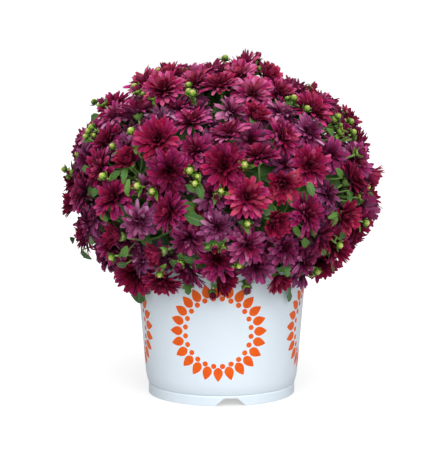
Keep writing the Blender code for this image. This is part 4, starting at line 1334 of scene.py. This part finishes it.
form = budPlan["inGaps"]
for spot, way in budSpots:
    size = greenRandom.uniform(*form["size"]) * form["share"]
    foot = spot + way * form["proud"]
    budTwig(foot, unit(way + form["lean"] * greenRandom.randn(3)), False, size, False, extraRandom)
for kind in ("closed", "opening"):
    for x, z in budPlan[kind]:
        spot, way = nearestGap(x, z, budPlan["gapReach"])
        onOutline = spot[1] > -budPlan["outline"]
        lift = (budPlan["rimLift"] if onOutline else np.abs(way[:2]) @ budPlan["lift"]) - budPlan["sunk"]
        pair = extraRandom.rand() < budPlan["pairShare"]
        size = extraRandom.uniform(*budPlan["size"])
        budTwig(spot + way * lift, way, kind == "opening", size, pair, extraRandom)
x, z = budPlan["hanging"]
foot = np.array([x / 1000, -rimOut - budPlan["hangingOff"], z / 1000])
budTwig(foot, unit(np.array(budPlan["hangingWay"])), True, budPlan["hangingSize"], False, extraRandom)
sides = domePoint(*spreadOverDome(budPlan["otherSpots"], dome["lowest"] + budPlan["otherAbove"]))
sides = sides[sides[:, 1] > budPlan["otherBehind"]]
for spot in sides[extraRandom.permutation(len(sides))[:budPlan["others"]]]:
    way = domeNormal(spot[None])[0]
    foot = swollen(spot[None])[0] + way * extraRandom.uniform(*budPlan["otherLift"])
    opening = extraRandom.rand() < budPlan["openingShare"]
    size = extraRandom.uniform(*budPlan["size"])
    budTwig(foot, way, opening, size, extraRandom.rand() < budPlan["pairShare"], extraRandom)

# Leaves that show between the front blooms: (x, z, length), in millimetres; one that would lie
# nearer than clear to the middle of a bloom is left out
frontLeaf = {
    "places": (
        (-121, 304, 15), (-132, 292, 15), (-91, 261, 17), (-63, 337, 10), (102, 280, 14), (-96, 253, 17),
        (-104, 237, 16), (-98, 232, 15), (-35, 164, 16), (-39, 150, 18), (-10, 172, 21), (-3, 159, 14),
        (16, 159, 14), (24, 160, 13), (-23, 198, 19), (-92, 158, 18), (-104, 155, 17), (25, 202, 14),
        (110, 200, 12), (125, 193, 12), (111, 191, 13), (88, 236, 13), (61, 233, 10), (77, 201, 15),
        (97, 159, 15), (88, 149, 14), (-15, 240, 15), (-37, 240, 13), (-130, 175, 15), (69, 310, 12),
        (120, 215, 13), (60, 150, 16), (90, 180, 14), (-118, 284, 12), (-135, 242, 13), (-134, 230, 13),
        (-127, 217, 12), (-120, 196, 13), (-156, 168, 15), (-142, 152, 15), (-75, 276, 12), (-99, 118, 13),
        (-55, 327, 16), (136, 214, 16), (123, 228, 12), (117, 243, 12),
    ),
    "width": (0.36, 0.60), "lift": (0.008, -0.001), "down": 0.6, "rise": (0.10, 0.5), "gapReach": 0.012,
    "lobed": 0.4, "grow": 1.15, "turned": 1.3, "clear": 0.0145, "bend": (-10, 30), "under": 0.004,
    "radii": (0.0012, 0.0010, 0.0009, 0.0007), "youth": 0.45, "stalkShade": 0.6,
}
form = frontLeaf
backward = np.array([0.0, 1.0, 0.0])
for x, z, long in form["places"]:
    spot, out = nearestGap(x, z, form["gapReach"])
    if distance(mainMiddles, spot).min() < form["clear"]:
        continue
    index, root, bend = stalkTo(spot, out, branches)
    way = unit(randomSquare(out, extraRandom) - form["down"] * up)
    way = unit(way - out * (way @ out) + out * extraRandom.uniform(*form["rise"]))
    long = long / 1000 * form["grow"]
    base = spot + out * (np.abs(out[:2]) @ form["lift"]) - way * long * 0.5
    wide = long * extraRandom.uniform(*form["width"])
    addTwig(index, [root, bend, base - out * form["under"], base], form["radii"], form["stalkShade"])
    toward, youth = unit(form["turned"] * backward - out), form["youth"] * extraRandom.rand() ** 2
    leafOn(index, base, way, toward, long, wide, form["bend"], youth, extraRandom, form["lobed"])
tuftHeap.piece("openingTufts", paints["petals"], "petals", (), 80)
print("leaves and buds made")

for number, heaps in enumerate(zip(stemHeaps, leafHeaps, budHeaps), 1):
    for heap, name, crisp in zip(heaps, ("stalks", "leaves", "buds"), (None, 80, None)):
        heap.piece(f"{name}_{number}", paints[name], "greens", [f"cutting_{number}"], crisp)


# The pot


def wallRadius(z):
    # rim radius less the taper, drawn in by a parabola just above the foot band
    taper = pot["rimRadius"] - pot["taper"] * (pot["height"] - z)
    curve = np.maximum(0.0, 1 - (z - pot["bandTall"]) / pot["curveTall"])
    return taper - pot["curveDeep"] * curve**2


notchTurns = [pot["firstNotch"] + fullTurn * i / pot["notches"] for i in range(pot["notches"])]


def notchHeight(turns):
    # each notch is a flat-topped wedge: notchTall less a slope that starts past its narrow top
    high = np.zeros(len(turns))
    for middle in notchTurns:
        off = np.abs((turns - middle + math.pi) % fullTurn - math.pi) * pot["bandRadius"]
        run = (pot["notchWide"] - pot["notchNarrow"]) / 2
        high = np.maximum(high, pot["notchTall"] * np.clip((pot["notchWide"] / 2 - off) / run, 0.0, 1.0))
    return high


def potTurns():
    # even steps, and a step at each corner of each notch
    turns = list(np.arange(pot["sides"]) * fullTurn / pot["sides"])
    for middle in notchTurns:
        for wide in (pot["notchWide"], pot["notchNarrow"]):
            half = wide / 2 / pot["bandRadius"]
            turns += [middle + half, middle - half]
    turns = np.sort(np.array(turns) % fullTurn)
    return turns[np.concatenate([[True], np.diff(turns) > pot["leastTurn"]])]


def cutDrains(obj):
    # a pin through the floor behind each notch, taken away from the pot
    cutters = bpy.data.collections.new("drainCutters")
    bpy.context.scene.collection.children.link(cutters)
    for turn in notchTurns:
        spot = (pot["drainRing"] * math.cos(turn), pot["drainRing"] * math.sin(turn), pot["floorZ"])
        bpy.ops.mesh.primitive_cylinder_add(
            vertices=pot["drainSides"], radius=pot["drainRadius"], depth=pot["drainDeep"], location=spot,
        )
        pin = bpy.context.object
        for home in list(pin.users_collection):
            home.objects.unlink(pin)
        cutters.objects.link(pin)
    cut = obj.modifiers.new("drains", "BOOLEAN")
    cut.operation, cut.operand_type, cut.solver = "DIFFERENCE", "COLLECTION", "EXACT"
    cut.collection = cutters
    result = bpy.data.meshes.new_from_object(obj.evaluated_get(bpy.context.evaluated_depsgraph_get()))
    obj.modifiers.clear()
    obj.data = result
    for pin in list(cutters.objects):
        bpy.data.objects.remove(pin)
    bpy.data.collections.remove(cutters)
    result.set_sharp_from_angle(angle=math.radians(pot["crisp"]))


def makePot():
    # a profile turned round Z: out under the floor, up the band and wall, over the lip and down
    # inside; round the foot it is squeezed up into each notch, z = high + z (1 - high / floor)
    wall, height, foot, edge = pot["wall"], pot["height"], pot["bandRadius"], pot["edge"]
    floor, band, lip, lipLow = pot["floorZ"], pot["bandTall"], rimOut, pot["height"] - pot["lipTall"]
    curveTop = band + pot["curveTall"]
    inner = foot - 1.5 * wall
    curve = np.linspace(band + 1.5 * edge, curveTop, pot["curveRings"])
    levels = np.concatenate([curve, np.linspace(curveTop, lipLow, pot["wallRings"])[1:]])
    lipMiddle, lipHalf = (lip + pot["rimRadius"] - wall) / 2, (lip - pot["rimRadius"] + wall) / 2
    corner = levels[0]
    profile = [(radius, floor) for radius in (*pot["floorRings"], inner - 2 * edge)]
    profile += [(inner, z) for z in (floor - 2 * edge, pot["innerRing"], edge)]
    profile += [(inner + 0.75 * edge, 0.0), (foot - edge, 0.0)]
    profile += [(foot, z) for z in (edge, *pot["bandRings"], band - 1.75 * edge)]
    profile += [(foot - 0.75 * edge, band - 0.5 * edge), (wallRadius(band) - edge, band + 0.25 * edge)]
    profile += [(wallRadius(z), z) for z in levels]
    profile += [(lip - 0.5 * edge, lipLow + 0.25 * edge), (lip, lipLow + 1.25 * edge)]
    for a in np.linspace(0, math.pi, pot["lipRings"]):
        profile += [(lipMiddle + lipHalf * math.cos(a), height - 4 * edge + 4 * edge * math.sin(a))]
    profile += [(wallRadius(z) - wall, z) for z in levels[::-1][2:]]
    profile += [(wallRadius(corner) - wall - 3 * edge, corner - 1.5 * edge)]
    across = (wallRadius(corner) - wall - pot["floorCorner"], *pot["floorRings"][1::-1])
    profile = np.array(profile + [(radius, floor + wall) for radius in across])
    turns = potTurns()
    radius, z = profile[:, :1], np.repeat(profile[:, 1:], len(turns), axis=1)
    high = notchHeight(turns)[None]
    inFoot = (radius > inner - 0.25 * edge) & (z < floor - 0.25 * edge)
    z = np.where(inFoot, high + z * (1 - high / floor), z)
    rings = np.stack([radius * np.cos(turns), radius * np.sin(turns), z], axis=-1)
    heap = Heap()
    heap.add(rings, floor * up, (floor + wall) * up)
    cutDrains(heap.piece("pot_shell", paints["pot"], "pot_plastic", ["pot"]))


makePot()

# A form is (how many, half width and half height of its oval, length, width, turn in steps)
printForm = {
    "medallions": 4, "turn": math.radians(-92.4), "z": 0.079,
    "drops": (24, 0.0458, 0.0448, 0.0150, 0.0098, 0.0), "dots": (24, 0.0352, 0.0362, 0.0056, 0.0056, 0.5),
    "rows": (0.0, 0.03, 0.10, 0.21, 0.36, 0.54, 0.72, 0.86, 0.96, 1.0),
    "v": (1.0, 0.5, 0.0, -0.5, -1.0, 0.0), "proud": (0.5, 1.0, 1.0, 1.0, 0.5, -3.0), "thick": 0.00007,
}


def addPrinted(heap, centre, line, half):
    # a flat form of ink: rows at (along the wall, up) with a half width, wrapped on the wall
    form = printForm
    ways = unit(np.gradient(line, axis=0))
    aside = half[:, None] * np.array(form["v"])
    along, z = line[:, :1] + ways[:, 1:] * aside, form["z"] + (line[:, 1:] - ways[:, :1] * aside)
    radius = wallRadius(z) + np.array(form["proud"]) * form["thick"]
    turn = centre + along / wallRadius(z)
    rings = np.stack([radius * np.cos(turn), radius * np.sin(turn), z], axis=-1)
    heap.add(rings, rings[0].mean(axis=0), rings[-1].mean(axis=0))


def makePrint():
    # an oval of drops, sin(pi s^0.72)^0.85, that point outward, and inside it an oval of dots
    form = printForm
    heap = Heap()
    s = np.array(form["rows"])
    drop = np.sin(math.pi * np.clip(s, 0.0005, 0.9995) ** 0.72) ** 0.85
    dot = np.sqrt(np.maximum(1e-6, 1 - (2 * s - 1) ** 2))
    for m in range(form["medallions"]):
        centre = form["turn"] + fullTurn * m / form["medallions"]
        for outline, row in ((drop, form["drops"]), (dot, form["dots"])):
            count, across, tall, long, wide, shift = row
            for i in range(count):
                angle = fullTurn * (i + shift) / count
                outward = unit(np.array([math.cos(angle) / across, math.sin(angle) / tall]))
                spot = np.array([across * math.cos(angle), tall * math.sin(angle)])
                line = spot + outward * ((s - 0.5) * long)[:, None]
                addPrinted(heap, centre, line, outline * wide / 2)
    heap.piece("printed_medallions", paints["print"], "pot_plastic", (), 25)


makePrint()

soil = {
    "belowRim": 0.014, "gap": 0.0006, "crown": 0.003, "crownReach": 0.09, "sides": 120, "rings": 26,
    "floorRings": (0.04, 0.0695), "foot": 0.35, "levels": (0.06, 0.10), "edge": 0.002, "middle": 0.003,
    "waves": 24, "waveRange": (120, 900), "lump": 0.0462,
}


def makeSoil():
    # a filling turned round Z; its top is raised by a sum of sin(wave (x cos + y sin) + phase) / wave
    random = np.random.RandomState(seeds["soil"])
    top, band, inset = pot["height"] - soil["belowRim"], pot["bandTall"], pot["wall"] + soil["gap"]
    levels = (band + pot["curveTall"] * soil["foot"], band + pot["curveTall"], *soil["levels"], top)
    side = [(radius, pot["floorZ"] + inset) for radius in soil["floorRings"]]
    side += [(wallRadius(z) - inset, z) for z in levels]
    reach = np.linspace(side[-1][0] - soil["edge"], soil["middle"], soil["rings"])
    profile = np.array(side + [(r, top + soil["crown"] * (1 - r / soil["crownReach"])) for r in reach])
    turns = fullTurn * np.arange(soil["sides"]) / soil["sides"]
    x, y = profile[:, :1] * np.cos(turns), profile[:, :1] * np.sin(turns)
    lumps = np.zeros_like(x)
    for _ in range(soil["waves"]):
        way, wave = random.uniform(0, fullTurn), random.uniform(*soil["waveRange"])
        phase = random.uniform(0, fullTurn)
        lumps += np.sin((x * math.cos(way) + y * math.sin(way)) * wave + phase) / wave
    onTop = (np.arange(len(profile)) >= len(side))[:, None]
    z = profile[:, 1:] + np.where(onTop, lumps * soil["lump"], 0.0)
    heap = Heap()
    heap.add(np.stack([x, y, z], axis=-1), profile[0, 1] * up, z[-1].mean() * up)
    heap.piece("soil_filling", paints["soil"], "potting_soil", ["soil"])


makeSoil()
print("pot, print and soil made")


# Studio: a pale floor, soft light and the photograph's point of view

# A soft key from just right of the viewpoint, softer ones from overhead and behind, and pale
# surroundings whose strength falls off sideways, over a span of |x|; each lamp is (strength,
# width, turn from the front, height), with angles in degrees
studio = {
    "floorSize": 40.0, "floorColour": (0.55, 0.55, 0.55), "floorGlow": 0.50,
    "surround": (0.35, 0.95, (0.35, 0.06)), "lampsAt": 2.0,
    "key": (2.12, 60, 6, 33), "overhead": (1.60, 90, 10, 76), "back": (0.90, 60, 190, 40),
}
view = {
    "distance": 1.6, "elevation": 6.5, "aim": (0.0, 0.0, 0.17), "focalPixels": 1480, "frame": (443, 471),
    "sensor": 36.0,
}


def placeAimed(name, data, turn, height, far, target):
    # an object at that turn to the right of the front and that height above the level, in degrees,
    # and that far from the target, which it faces
    obj = bpy.data.objects.new(name, data)
    bpy.context.scene.collection.objects.link(obj)
    turn, height = math.radians(turn), math.radians(height)
    flat = far * math.cos(height)
    away = Vector((flat * math.sin(turn), -flat * math.cos(turn), far * math.sin(height)))
    obj.location = Vector(target) + away
    obj.rotation_euler = (Vector(target) - obj.location).to_track_quat("-Z", "Y").to_euler()
    return obj


def makeStudio():
    # the floor and the surroundings look white, and throw only a part of that light on the plant
    bpy.ops.mesh.primitive_plane_add(size=studio["floorSize"], location=blank)
    floor = bpy.context.object
    floor.name = "studioFloor"
    white = (1.0, 1.0, 1.0)
    matt = {"Base Color": studio["floorColour"], "Roughness": 1.0, "Emission Color": white}
    paint = Paint("studioFloor", matt)
    seen = paint.make("LightPath").outputs["Is Camera Ray"]
    paint.put(paint.shader.inputs["Emission Strength"], paint.times(seen, studio["floorGlow"]))
    floor.data.materials.append(paint.material)
    world = bpy.data.worlds.new("studio")
    world.use_nodes = True
    sky = Nodes(world.node_tree)
    sideways = sky.sums("ABSOLUTE", sky.parts(sky.make("TexCoord").outputs["Generated"])[0])
    shine = sky.between(sideways, *studio["surround"])
    background = sky.tree.nodes["Background"]
    seen = sky.make("LightPath").outputs["Is Camera Ray"]
    sky.fill(background, (white, sky.between(seen, 0.0, 1.0, (shine, 1.0))))
    bpy.context.scene.world = world
    for name in ("key", "overhead", "back"):
        strength, wide, turn, height = studio[name]
        light = bpy.data.lights.new(name, "SUN")
        light.energy, light.angle = strength, math.radians(wide)
        placeAimed(name, light, turn, height, studio["lampsAt"], blank)
    camera = bpy.data.cameras.new("camera")
    camera.sensor_width = view["sensor"]
    camera.lens = view["focalPixels"] * view["sensor"] / max(view["frame"])
    eye = placeAimed("camera", camera, 0.0, view["elevation"], view["distance"], view["aim"])
    bpy.context.scene.camera = eye
    bpy.context.scene.view_settings.view_transform = "Standard"


makeStudio()
print("studio made")
